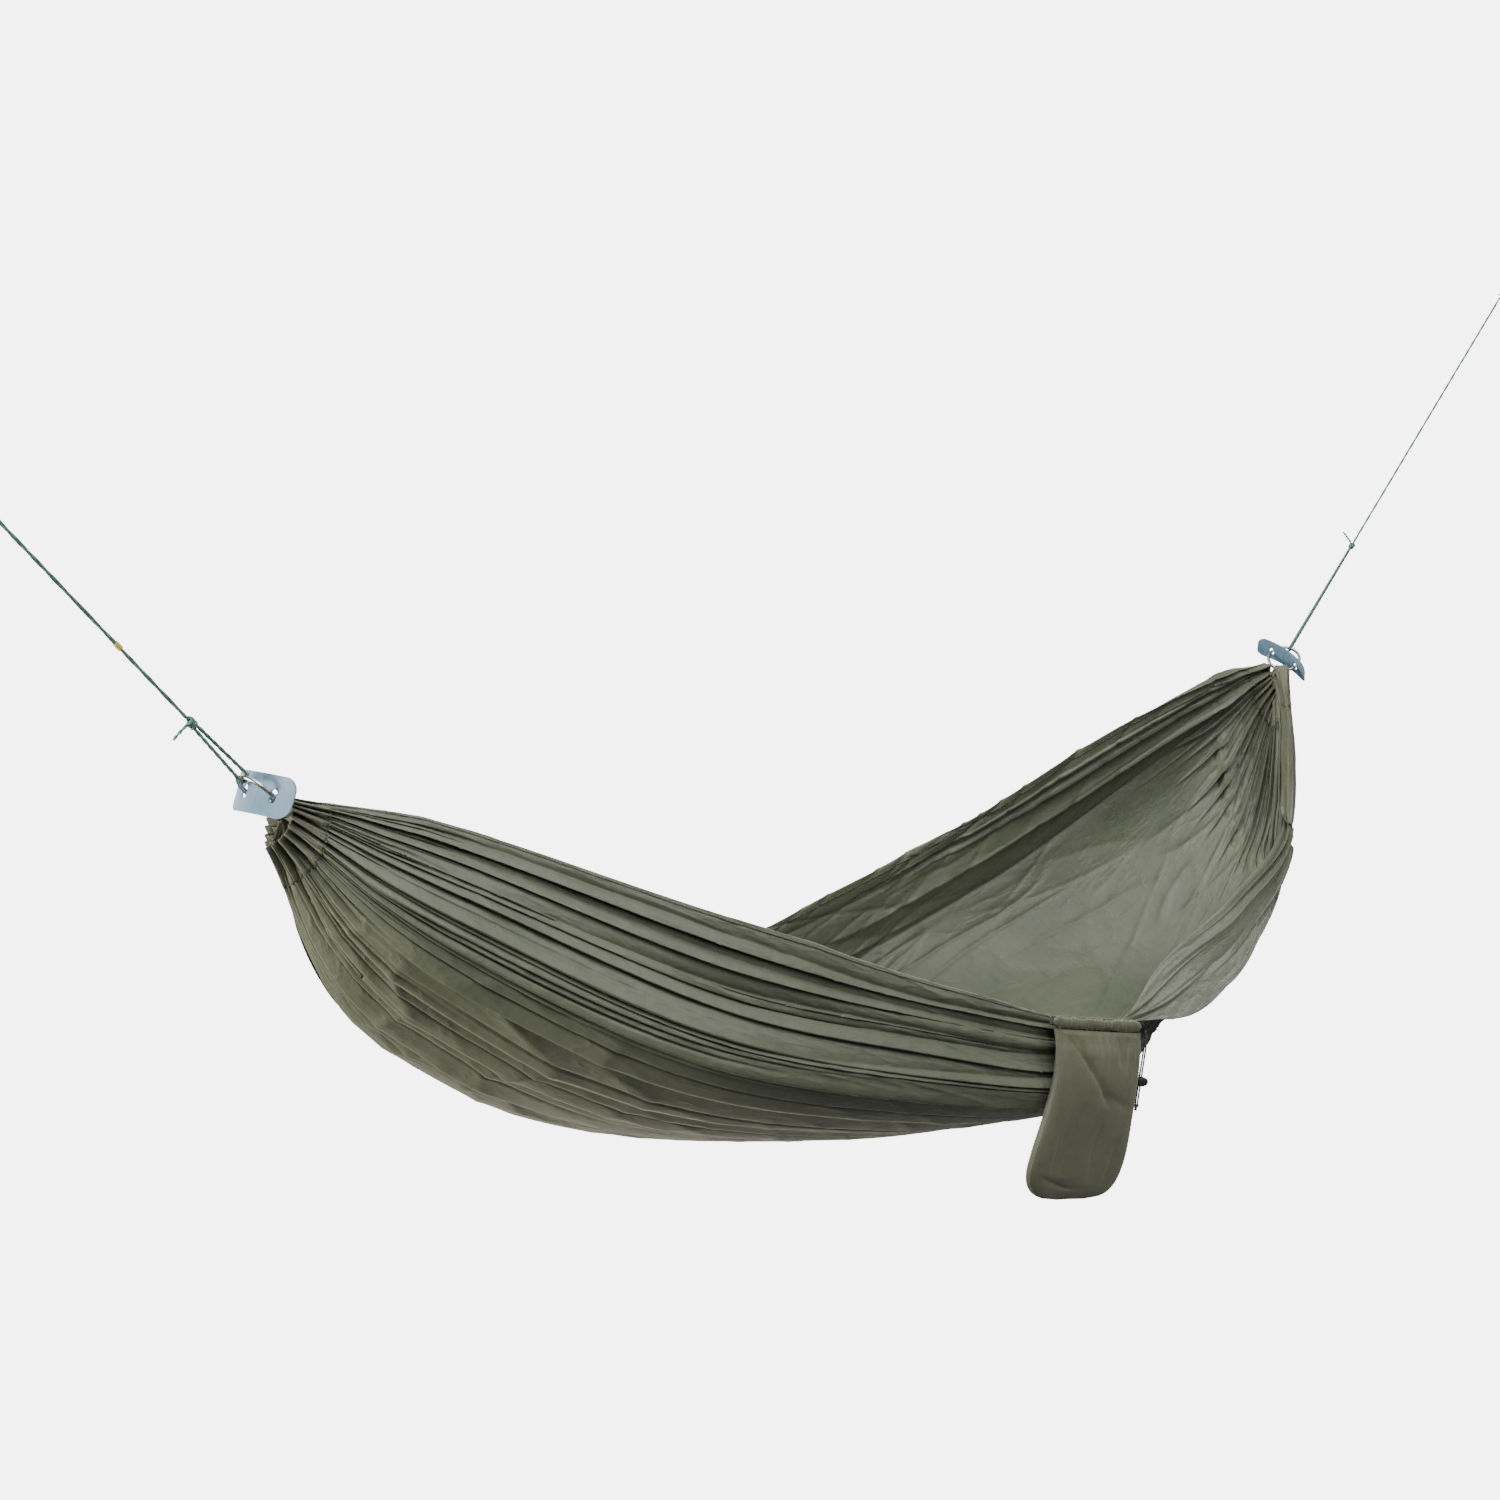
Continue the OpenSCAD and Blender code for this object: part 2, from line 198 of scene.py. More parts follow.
def braid(name, dark, light, around=8.0, pitch=5 * MM):
    """Braided cord: u runs round the cord, v along it in metres."""
    k = Look(name)
    left = k.wave(k.place("UV", (around * 0.314, wave_scale(pitch), 1), 0.0), 1, "DIAGONAL")
    right = k.wave(k.place("UV", (-around * 0.314, wave_scale(pitch), 1), 0.0), 1, "DIAGONAL")
    plait = k.math("MAXIMUM", left, right)
    fuzz = k.grain(900, 3)
    patch = k.grain(60, 3)
    # The colour follows the plait's height: grooves between the strands are painted darker and the
    # crests lighter, as painted shade, mixed with random patches of tone.
    tone = k.math("ADD", k.math("MULTIPLY", plait, 0.55), k.math("MULTIPLY", patch, 0.45))
    k.set(Sheen_Weight=0.3, Sheen_Roughness=0.5, Specular_IOR_Level=0.35)
    k.wire(
        colour=k.ramp(tone, [(0.32, dark), (0.85, light)]),
        roughness=k.span(fuzz, 0.50, 0.72),
        normal=k.bump(plait, 0.6, 0.5 * MM, k.bump(fuzz, 0.3, 0.3 * MM)))
    return k.mat


def steel_look(name):
    k = Look(name)
    smear = k.noise(k.place("Object", (40, 40, 400)), 3, 4)
    spots = k.grain(180, 5)
    k.set(Metallic=1.0, Anisotropic=0.2)
    k.wire(
        colour=k.ramp(spots, [(0.25, (0.30, 0.31, 0.32)), (0.75, (0.50, 0.51, 0.52))]),
        roughness=k.span(smear, 0.17, 0.34),
        normal=k.bump(smear, 0.10, 0.1 * MM))
    return k.mat


def pad_look(name):
    """Milky flexible plastic."""
    k = Look(name)
    cloud = k.grain(35, 4)
    grain = k.grain(700, 3)
    k.set(Subsurface_Weight=0.35, Subsurface_Scale=0.006, Subsurface_Radius=(0.6, 0.8, 1.0),
          Specular_IOR_Level=0.3, Coat_Weight=0.05, Coat_Roughness=0.35)
    k.wire(
        colour=k.ramp(cloud, [(0.3, (0.092, 0.168, 0.235)), (0.75, (0.145, 0.235, 0.315))]),
        roughness=k.span(cloud, 0.44, 0.60),
        normal=k.bump(grain, 0.12, 0.1 * MM))
    return k.mat


def moulded(name, dark, light):
    k = Look(name)
    grain = k.grain(1200, 3)
    patch = k.grain(90, 4)
    k.set(Specular_IOR_Level=0.45)
    k.wire(
        colour=k.ramp(patch, [(0.3, dark), (0.8, light)]),
        roughness=k.span(patch, 0.36, 0.52),
        normal=k.bump(grain, 0.25, 0.08 * MM))
    return k.mat


CLOTH = nylon("nylon_cloth", (0.070, 0.081, 0.052), (0.115, 0.127, 0.087))
HEM = nylon("nylon_hem", (0.066, 0.073, 0.046), (0.108, 0.115, 0.077))
LINING = nylon("nylon_sack", (0.076, 0.081, 0.051), (0.124, 0.129, 0.084), creased=0.12)
THREAD = braid("sewing_thread", (0.095, 0.098, 0.068), (0.20, 0.20, 0.145), 3, 2 * MM)
ROPE = braid("rope_green", (0.028, 0.082, 0.062), (0.085, 0.200, 0.155))
TAIL = braid("rope_teal", (0.030, 0.180, 0.120), (0.080, 0.380, 0.270))
GATHER = braid("gather_cord", (0.055, 0.058, 0.042), (0.14, 0.145, 0.11))
YELLOW = braid("marker_thread", (0.46, 0.30, 0.025), (0.78, 0.58, 0.09), 3, 1.5 * MM)
BLACK_CORD = braid("black_cord", (0.006, 0.007, 0.006), (0.030, 0.033, 0.030), 6, 3 * MM)
STEEL = steel_look("brushed_steel")
PAD = pad_look("milky_plastic")
BLACK = moulded("black_plastic", (0.008, 0.008, 0.008), (0.022, 0.022, 0.021))

# ---- mesh helpers


def unit(v):
    return v / np.maximum(np.linalg.norm(v, axis=-1, keepdims=True), 1e-12)


def grid_faces(rows, cols, wrap=False, ring=False):
    """Quads of a grid of points; wrap joins the last column to the first, ring the rows."""
    i, j = np.meshgrid(np.arange(rows if ring else rows - 1),
                       np.arange(cols if wrap else cols - 1), indexing="ij")
    above, beside = (i + 1) % rows * cols, (j + 1) % cols
    return np.stack([i * cols + j, i * cols + beside, above + beside, above + j],
                    -1).reshape(-1, 4).tolist()


def end_faces(rows, cols, first=True):
    """The faces that close a wrapped grid at its last row, and at its first."""
    last = [(rows - 1) * cols + k for k in range(cols)]
    return [list(range(cols))[::-1], last] if first else [last]


def run_along(path):
    """Length from the start of a path to each of its points."""
    return np.concatenate([[0], np.cumsum(np.linalg.norm(np.diff(path, axis=0), axis=1))])


def flat_uv(rows, cols, width, length):
    v, u = np.meshgrid(np.linspace(0, length, rows), np.linspace(0, width, cols), indexing="ij")
    return np.stack([u, v], -1)


def make(name, parts, body, replaced):
    """One object from parts, each (points, faces, uv, material), in place of CAD nodes."""
    points, faces, uv, index, mats, start = [], [], [], [], [], 0
    for part_points, part_faces, part_uv, mat in parts:
        if mat not in mats:
            mats.append(mat)
        faces += [[v + start for v in f] for f in part_faces]
        index += [mats.index(mat)] * len(part_faces)
        points.append(np.asarray(part_points).reshape(-1, 3))
        uv.append(np.asarray(part_uv).reshape(-1, 2))
        start += len(points[-1])
    points, uv = np.concatenate(points), np.concatenate(uv)
    mesh = bpy.data.meshes.new(name)
    mesh.from_pydata(points.tolist(), [], faces)
    for mat in mats:
        mesh.materials.append(mat)
    mesh.polygons.foreach_set("material_index", index)
    mesh.polygons.foreach_set("use_smooth", [True] * len(faces))
    layer = mesh.uv_layers.new(name="UVMap")
    corner = np.zeros(len(mesh.loops), dtype=np.int32)
    mesh.loops.foreach_get("vertex_index", corner)
    layer.data.foreach_set("uv", uv[corner].astype(np.float32).ravel())
    mesh.update()
    obj = bpy.data.objects.new(name, mesh)
    scene.collection.objects.link(obj)
    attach(obj, body)
    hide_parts(*replaced)
    return obj


def frames(path):
    """Tangent and two normals at each point, turning as little as possible."""
    tangent = unit(np.gradient(path, axis=0))
    start = np.eye(3)[np.argmin(np.abs(tangent[0]))]
    side = np.zeros_like(path)
    side[0] = unit(start - tangent[0] * (start @ tangent[0]))
    for i in range(1, len(path)):
        v = side[i - 1] - tangent[i] * (side[i - 1] @ tangent[i])
        side[i] = unit(v)
    return tangent, side, np.cross(tangent, side)


def tube(path, radius, material, sides=12, caps=True):
    """A round tube along a path, with rounded ends. radius is a number or a list."""
    path = np.asarray(path, float)
    radius = np.broadcast_to(np.asarray(radius, float), (len(path),))
    tangent, side, other = frames(path)
    if caps:
        steps = [(sin(a), cos(a)) for a in np.radians([75, 50, 25])]
        head = [path[0] - tangent[0] * radius[0] * out for out, _ in steps]
        foot = [path[-1] + tangent[-1] * radius[-1] * out for out, _ in steps[::-1]]
        path = np.concatenate([head, path, foot])
        radius = np.concatenate([[radius[0] * share for _, share in steps], radius,
                                 [radius[-1] * share for _, share in steps[::-1]]])
        side = np.concatenate([[side[0]] * 3, side, [side[-1]] * 3])
        other = np.concatenate([[other[0]] * 3, other, [other[-1]] * 3])
    turn = np.arange(sides) * tau / sides
    ring = (np.cos(turn)[None, :, None] * side[:, None] + np.sin(turn)[None, :, None] * other[:, None])
    points = path[:, None] + radius[:, None, None] * ring
    rows = len(path)
    faces = grid_faces(rows, sides, wrap=True) + end_faces(rows, sides)
    uv = np.stack(np.broadcast_arrays((np.arange(sides) / sides)[None],
                                      run_along(path)[:, None]), -1)
    return points, faces, uv, material


def resample(path, step):
    path = np.asarray(path, float)
    run = run_along(path)
    at = np.linspace(0, run[-1], max(int(round(run[-1] / step)), 2) + 1)
    return np.stack([np.interp(at, run, path[:, k]) for k in range(3)], -1), at


def rounded(path, rounds=2):
    """Corner cutting, so that a route of few points bends smoothly."""
    path = np.asarray(path, float)
    for _ in range(rounds):
        a, b = path[:-1], path[1:]
        cut = np.stack([0.75 * a + 0.25 * b, 0.25 * a + 0.75 * b], 1).reshape(-1, 3)
        path = np.concatenate([path[:1], cut[1:-1], path[-1:]])
    return path


STRANDS, STRAND_SIDES = 2, 10
WOBBLE_LENGTH = 0.06  # metres of rope over which its lay drifts


def strands(path, offset, radius, pitch, material, seed=0, wobble=0.0):
    """Two cords laid round each other along a path."""
    path, run = resample(path, radius * 1.1)
    _, side, other = frames(path)
    drift = wobble * noise(seed, run / WOBBLE_LENGTH, run * 0)
    ends = np.minimum(1, np.minimum(run, run[-1] - run) / (4 * radius) + 0.35)
    parts = []
    for k in range(STRANDS):
        angle = tau * (run / pitch + k / STRANDS + drift)
        shift = np.cos(angle)[:, None] * side + np.sin(angle)[:, None] * other
        parts.append(tube(path + offset * ends[:, None] * shift, radius, material,
                          STRAND_SIDES))
    return parts


COIL_STEPS = 22  # points on each turn


def coil(centre, axis, start, length, radius, cord, turns, material, sides=10):
    """A cord wound round an axis."""
    axis = unit(np.asarray(axis, float))
    across = unit(np.cross(axis, (0, 1, 0)))
    up = np.cross(axis, across)
    a = np.linspace(0, tau * turns, int(turns * COIL_STEPS))
    path = (np.asarray(centre, float) + axis * (start + length * (a / a[-1])[:, None])
            + radius * (np.cos(a)[:, None] * across + np.sin(a)[:, None] * up))
    return tube(path, cord, material, sides)


def spline4(f):
    """Weights of a smooth cubic through four neighbours."""
    return np.stack([(1 - f) ** 3, 3 * f ** 3 - 6 * f ** 2 + 4,
                     -3 * f ** 3 + 3 * f ** 2 + 3 * f + 1, f ** 3]) / 6


LATTICE, NOISE_GAIN = 64, 1.7


def noise(seed, x, y):
    """Smooth noise, about -1 to 1, with features about one unit across."""
    lattice = np.random.default_rng(seed).uniform(-1, 1, (LATTICE, LATTICE))
    x, y = np.broadcast_arrays(np.asarray(x, float), np.asarray(y, float))
    i, j = np.floor(x).astype(int), np.floor(y).astype(int)
    wx, wy = spline4(x - i), spline4(y - j)
    total = np.zeros(x.shape)
    for a in range(4):
        for b in range(4):
            total += wx[a] * wy[b] * lattice[(i + a) % LATTICE, (j + b) % LATTICE]
    return NOISE_GAIN * total


def smooth(x):
    x = np.clip(x, 0, 1)
    return x * x * (3 - 2 * x)


def band(x, start, end, rise, fall):
    """1 between start and end, with a smooth slope inside each of them."""
    return smooth((x - start) / rise) * smooth((end - x) / fall)


# ---- rope frames

LEFT_RING_TOP = np.array([0.310, 0, -0.330])
RIGHT_RING_TOP = np.array([2.510, 0, -0.330])
RIGHT_EYE = np.array([3.350, 0, 0.375])
RING_R = 27.25 * MM
RIGHT_TWIST = radians(21)
RIGHT_PAD_ROLL = radians(17)
LEFT_PAD_TILT = radians(-27)


def turned(basis, axis, angle):
    """Columns of basis turned about one of its own axes."""
    c, s = cos(angle), sin(angle)
    a, b = [(1, 2), (2, 0), (0, 1)][axis]
    out = basis.copy()
    out[:, a] = c * basis[:, a] + s * basis[:, b]
    out[:, b] = -s * basis[:, a] + c * basis[:, b]
    return out


def rope_basis(up):
    up = unit(np.asarray(up, float))
    along_y = np.array([0, 1.0, 0])
    return np.stack([np.cross(along_y, up), along_y, up], 1)


LEFT = rope_basis(-LEFT_RING_TOP)
RIGHT = rope_basis(RIGHT_EYE - RIGHT_RING_TOP)
RIGHT_RING = turned(RIGHT, 2, RIGHT_TWIST)
SIDES = {
    "left": {"eye": np.zeros(3), "basis": LEFT, "ring": LEFT, "top": LEFT_RING_TOP,
             "pad": turned(LEFT, 1, LEFT_PAD_TILT), "tail": (-80, 27)},
    "right": {"eye": RIGHT_EYE, "basis": RIGHT, "ring": RIGHT_RING, "top": RIGHT_RING_TOP,
              "pad": turned(RIGHT_RING, 0, RIGHT_PAD_ROLL), "tail": (-100, 44)},
}


def local(basis, origin, points):
    """Points given in millimetres in a frame of their own, as points in the shared frame."""
    return np.asarray(origin) + (np.asarray(points, float) * MM) @ basis.T


# ---- ropes

ROPE_LAY, ROPE_PITCH, ROPE_WANDER = (0.62 * MM, 1.63 * MM), 62 * MM, 0.35
EYE_R = 15.35  # middle of the rope in its eye, in mm
KNOT_GAP = 8  # from the rope's end to the middle of its knot, in mm
BEND_R = 5.25  # middle of a cord that goes round the wire of the ring, in mm
KNOT_LENGTH = 16  # from the rope's end to where the doubled rope starts, in mm
LEFT_ROPE = [(0.034 + 0.030 * k, 0, -0.036 - 0.032 * k) for k in range(8)]
RIGHT_ROPE = [(3.312, 0, 0.3432)] + [
    (3.292 - 0.040 * k, 0, 0.3264 - 0.0336 * k) for k in range(15)]
ROUTES = {"left": LEFT_ROPE, "right": RIGHT_ROPE}


def eye_pieces(side, s):
    """The rope's eye round its thimble, and the wraps that close it."""
    eye, basis = s["eye"], s["basis"]
    turn = np.linspace(0, tau, 97)[:-1]
    circle = np.stack([EYE_R * np.sin(turn), 0 * turn, EYE_R * np.cos(turn)], -1)
    opened = np.roll(circle, 48, axis=0)
    loop = local(basis, eye, opened[2:-2])
    parts = strands(loop, 1.0 * MM, 1.15 * MM, 17 * MM, ROPE)
    legs = [(-3.0, 0, -15.5), (-2.2, 0, -22), (-1.6, 0, -34), (-1.4, 0, -45)]
    for x in (1, -1):
        leg = local(basis, eye, [(x * p[0], 0, p[2]) for p in legs])
        parts += strands(leg, 0.55 * MM, 0.95 * MM, 14 * MM, ROPE)
    up = basis[:, 2]
    parts.append(coil(eye, -up, 24 * MM, 19 * MM, 3.4 * MM, 1.75 * MM, 5.6, ROPE))
    strap = local(basis, eye, [(5.0, 0, -24), (5.4, 1.5, -30), (5.2, 1.5, -38), (3.5, 0.5, -44)])
    parts.append(tube(rounded(strap), 1.5 * MM, ROPE))
    return make(side + "_rope_eye", parts, "anchors", [side + "_eye_loop"])


def tree_rope(side):
    """Two thin braided cords laid round each other, pulled taut."""
    route = ROUTES[side]
    seed = {"left": 3, "right": 5}[side]
    parts = strands(route, *ROPE_LAY, ROPE_PITCH, ROPE, seed=seed, wobble=ROPE_WANDER)
    obj = make(side + "_rope", parts, "hammock", [side + "_tree_rope"])
    return obj


def rope_knot(side, s):
    """A stopper knot: two wraps, a crossing turn and a cut tail."""
    basis = s["basis"]
    centre = np.asarray(ROUTES[side][-1]) - basis[:, 2] * KNOT_GAP * MM
    wraps = coil(centre, basis[:, 2], -5.5 * MM, 8.5 * MM, 3.6 * MM, 2.0 * MM, 2.7, ROPE, 12)
    core = strands(local(basis, centre, [(0, 0, 8), (0.6, 0.3, 3), (-0.5, 0, -3), (0, 0, -8)]),
                   1.0 * MM, 1.2 * MM, 12 * MM, ROPE)
    cross = local(basis, centre, [(-3, -3.6, -5), (0, -5.0, -1), (3.0, -4.2, 4), (1.5, -1, 6.5)])
    angle, length = radians(s["tail"][0]), s["tail"][1]
    out = np.array([sin(angle), 0, cos(angle)])
    tail = [np.array([0, -1, 1]) + out * d + np.array([0, 0, -0.10 * d * d / length])
            for d in (3, 8, 14, 20, length * 0.8, length)]
    tail_part = strands(rounded(local(basis, centre, tail)), 0.9 * MM, 1.1 * MM, 16 * MM, TAIL)
    return make(side + "_stopper_knot", [wraps, tube(rounded(cross), 1.7 * MM, ROPE)] + core
                + tail_part, "hammock", [side + "_rope_knot"])


def bridle(side, s):
    """The doubled rope from the knot, round the wire of the ring."""
    reach = (np.linalg.norm(s["top"] - s["eye"])
             - np.linalg.norm(np.asarray(ROUTES[side][-1]) - s["eye"])) / MM - KNOT_LENGTH
    apart, steps = 2.2, 4
    down = [(apart + (BEND_R - apart) * k / steps, 0, reach * (1 - k / steps))
            for k in range(steps + 1)]
    turn = [(BEND_R * cos(a), 0, -BEND_R * sin(a))
            for a in np.radians(range(20, 161, 20))]
    back = [(-x, y, z) for x, y, z in down[::-1]]
    path = local(s["ring"], s["top"], down + turn + back)
    parts = strands(path, 0.55 * MM, 1.65 * MM, 22 * MM, ROPE)
    return make(side + "_doubled_rope", parts, "hammock", [side + "_bridle"])


def gather(side, s):
    """The cord that ties the gathered cloth to the far side of the ring."""
    down = [(BEND_R - 0.5 * k, 0, -7.0 * k) for k in range(4)]
    turn = [(BEND_R * cos(a), 0, BEND_R * sin(a))
            for a in np.radians(range(15, 166, 15))]
    path = down[::-1] + turn + [(-x, y, z) for x, y, z in down]
    far = s["top"] - s["ring"][:, 2] * 2 * RING_R
    second = [(x * 0.93, y + 4.2, z - 0.3) for x, y, z in path]
    parts = []
    for turn_path in (path, second):
        parts += strands(local(s["ring"], far, turn_path), 0.9 * MM, 1.05 * MM, 13 * MM, GATHER)
    return make(side + "_gather_loop", parts, "hammock", [side + "_gather_cord"])


def marker():
    """Yellow thread whipped round the left rope."""
    centre = -LEFT[:, 2] * 248 * MM
    wraps = coil(centre, LEFT[:, 2], -4.3 * MM, 8.6 * MM, 2.75 * MM, 0.55 * MM, 8.5, YELLOW, 8)
    return make("marker_whipping", [wraps], "hammock", ["rope_marker"])


marker_piece = marker()
for end_name, end_data in SIDES.items():
    on_rope = [eye_pieces(end_name, end_data), rope_knot(end_name, end_data),
               end_name + "_thimble"]
    if end_name == "left":
        on_rope.append(marker_piece)
    tree_rope(end_name)
    bridle(end_name, end_data)
    gather(end_name, end_data)

# ---- sack frame and drawcord

SACK_ORIGIN = np.array([1.370, -0.376, -0.740])
SACK_LEAN = radians(13)
SACK = turned(np.eye(3), 1, SACK_LEAN)
SACK_WIDTH, SACK_HEIGHT, SACK_T, CASING_R = 208.0, 222.0, 30.0, 8.0
SACK_ROUND, SACK_LONG = 0.42, 0.24  # its cloth's size in metres, for the weave
SACK_STITCH = {"long": 2.4 * MM, "pitch": 3.6 * MM}
DRAWCORD = [
    (0, 0, 0), (3, 0, -0.6), (6.2, -1.5, -3), (8.6, -3.5, -8), (9.7, -5.2, -14),
    (10, -6, -22), (10, -6, -40), (10, -6, -60), (10, -6, -80), (10, -6, -104)]
STRAND_GAP = 1.6
DRAWCORD_R, DRAWCORD_STEP = 1.2 * MM, 1.2 * MM


def in_sack(points):
    return local(SACK, SACK_ORIGIN, points)


def end_knot():
    """An overhand knot that joins the two strands."""
    a = np.linspace(0, tau, 73)[:-1]
    bow = np.stack([np.sin(a) + 1.6 * np.sin(2 * a), np.cos(a) - 1.6 * np.cos(2 * a),
                    -1.2 * np.sin(3 * a)], -1) * 1.15
    centre = np.array([SACK_WIDTH / 2 + 10, -6, -107])
    closed = in_sack(np.concatenate([bow, bow[:2]]) + centre)
    parts = [tube(closed, DRAWCORD_R, BLACK_CORD, 10, caps=False)]
    for y in (-1, 1):
        stub = [(0, y * 1.0, -1), (0.6 * y, y * 1.4, -4), (1.2 * y, y * 1.8, -6.5)]
        parts.append(tube(in_sack(np.array(stub) + centre), 1.1 * MM, BLACK_CORD, 10))
    return make("drawcord_knot", parts, "sack", ["drawcord_end_knot"])


def drawcords():
    knot = end_knot()
    for y, name in ((-1, "drawcord_front"), (1, "drawcord_back")):
        route = [(p[0] + SACK_WIDTH / 2, p[1] + y * STRAND_GAP, p[2]) for p in DRAWCORD]
        path = in_sack(route)
        fine = resample(rounded(path), DRAWCORD_STEP)[0]
        obj = make(name, [tube(fine, DRAWCORD_R, BLACK_CORD)], "sack",
                   ["sack_drawcord"])


drawcords()

# ---- canopy

HALF_SPAN, HALF_WIDTH, SAG = 1.1, 0.36, 0.64
MIDDLE = (LEFT_RING_TOP + RIGHT_RING_TOP) / 2
# Lines along the cloth from the front edge under the keel to the back edge,
# in percent of the half span, the half width and the sag
FRONT_EDGE = [
    (-96, -7, 4), (-80, -28, 11), (-55, -75, 30), (-28, -94, 49), (0, -100, 65),
    (26, -92, 71), (54, -67, 67), (83, -31, 54), (95.5, -7, 4)]
FRONT_CREST = [
    (-96, -7, 6), (-82, -34, 20), (-58, -78, 43), (-29, -99, 60), (0, -98, 71),
    (28, -70, 63), (60, -45, 59), (88, -24, 46), (95.5, -7, 6)]
FRONT_BELLY = [
    (-96.5, -5, 10), (-85, -36, 32), (-62, -75, 58), (-31, -94, 74), (0, -92, 83),
    (31, -62, 80), (62, -38, 74), (88, -16, 54), (96, -5, 10)]
KEEL = [
    (-97.5, 0, 12.5), (-87, 0, 45), (-64, 0, 73), (-33, 0, 90), (0, 0, 97),
    (32, 0, 95), (63, 0, 86), (87, 0, 55), (97, 0, 12.5)]
BACK_BELLY = [
    (-96.5, 5, 9.5), (-84, 22, 40), (-58, 53, 66), (-31, 83, 83), (0, 89, 88),
    (30, 81, 81), (59, 56, 62), (85, 25, 33), (96, 5, 9.5)]
BACK_EDGE = [
    (-96, 7, 4), (-83, 31, 47), (-54, 67, 66), (-26, 89, 69), (0, 92, 65),
    (26, 82, 53), (51, 54, 33), (78, 20, 10), (95.5, 7, 4)]
GUIDES = np.array([FRONT_EDGE, FRONT_CREST, FRONT_BELLY, KEEL, BACK_BELLY, BACK_EDGE], float)
GUIDES = GUIDES * np.array([HALF_SPAN, HALF_WIDTH, -SAG]) / 100 + MIDDLE
CUT_LENGTH, CUT_WIDTH = 2.65, 1.20
ROWS, COLS = 361, 501


def through(points, t):
    """A smooth curve through rows of points, at shares t of its length."""
    n = len(points) - 1
    x = np.clip(t, 0, 1) * n
    i = np.minimum(x.astype(int), n - 1)
    f = x - i
    padded = np.concatenate([2 * points[:1] - points[1:2], points, 2 * points[-1:] - points[-2:-1]])
    weights = 0.5 * np.stack([-f + 2 * f * f - f ** 3, 2 - 5 * f * f + 3 * f ** 3,
                              f + 4 * f * f - 3 * f ** 3, -f * f + f ** 3])
    shape = (len(t),) + (1,) * (points.ndim - 1)
    return sum(weights[k].reshape(shape) * padded[i + k] for k in range(4))


def base_sheet(t, s):
    lines = through(np.swapaxes(GUIDES, 0, 1), t)
    return np.swapaxes(through(np.swapaxes(lines, 0, 1), s), 0, 1)


def sheet_frame(points):
    """Along, across and outward directions at each point of a grid."""
    along = unit(np.gradient(points, axis=0))
    across = unit(np.gradient(points, axis=1))
    normal = unit(np.cross(across, along))
    if normal[len(points) // 2, points.shape[1] // 2, 2] > 0:
        normal = -normal
    return along, across, normal


MOST_FOLDS = 200  # more than any one end of the cloth has


def uneven(seed, u, low, high):
    """One value for each fold, changing smoothly from fold to fold."""
    values = np.random.default_rng(seed).uniform(low, high, MOST_FOLDS)
    return np.interp(u, np.arange(MOST_FOLDS), values)


FACET = 0.86  # share of a pleat that is its flat face
FOLD_LEAN = 0.45  # how far the face overhangs the next tuck
TUCK_WIDTH = 0.055  # half the width of a tuck, as a share of its pleat
FACE_RISE, TUCK_SINK, PLEAT_SINK = 0.42, 0.85, 0.1  # shares of the pleat's depth


def pleats(from_end, s, count, seed, depth, reach, hem_fold=1.0):
    """Folds gathered at one end: how far out they stand and how far they lean.

    hem_fold widens the first and the last pleat, beside the two hems.
    """
    widths = np.random.default_rng(seed).uniform(0.55, 1.6, count)
    widths[[0, -1]] *= hem_fold
    edges = np.concatenate([[0], np.cumsum(widths) / widths.sum()])
    u = np.interp(s, edges, np.arange(count + 1))
    fade = smooth((uneven(seed + 2, u, 0.55, 1.35) * reach - from_end) / (0.6 * reach))
    size = depth(from_end) * uneven(seed + 3, u, 0.45, 1.25) * fade
    share = u - np.floor(u)
    rise = np.clip(share / FACET, 0, 1)
    drop = smooth((1 - share) / (1 - FACET))
    face = np.where(share < FACET, rise, drop)
    inner = (s > 0.01) & (s < 0.99)
    near = np.minimum(share, 1 - share)
    tuck = np.exp(-(near / TUCK_WIDTH) ** 2) * inner
    lean = FOLD_LEAN * smooth(from_end / 0.08) * face ** 3
    return size * (FACE_RISE * face - TUCK_SINK * tuck - PLEAT_SINK), size * lean


PUCKER = 24 * MM  # depth of the puckers at the very end of the cloth
PUCKER_REACH = 0.022  # how far along the cloth they run


def bunch(from_end, s, count, seed):
    """Deep puckers that fill the gathered end."""
    u = count * (s + 0.02 * noise(seed, s * 7, 0.5))
    depth = PUCKER * uneven(seed + 1, u, 0.35, 1.0) * np.exp(-((from_end / PUCKER_REACH) ** 1.5))
    return -depth * np.sin(pi * u) ** 2


def profile(stops):
    at, value = zip(*stops)
    return lambda x: np.interp(x, at, np.array(value) * MM)


LEFT_DEPTH = profile([
    (0, 6), (0.03, 9), (0.06, 14), (0.12, 19), (0.2, 20), (0.3, 18), (0.45, 14), (0.6, 10), (1, 8)])
RIGHT_DEPTH = profile([(0, 6), (0.03, 9), (0.06, 15), (0.11, 18), (0.17, 17), (0.3, 11), (0.5, 6)])
FINE_DEPTH = profile([(0, 5), (0.03, 7), (0.07, 8), (0.12, 5), (0.2, 0)])
LOWER_DEPTH = profile([(0, 0), (0.05, 4), (0.12, 10), (0.25, 12), (0.4, 9), (0.6, 5)])

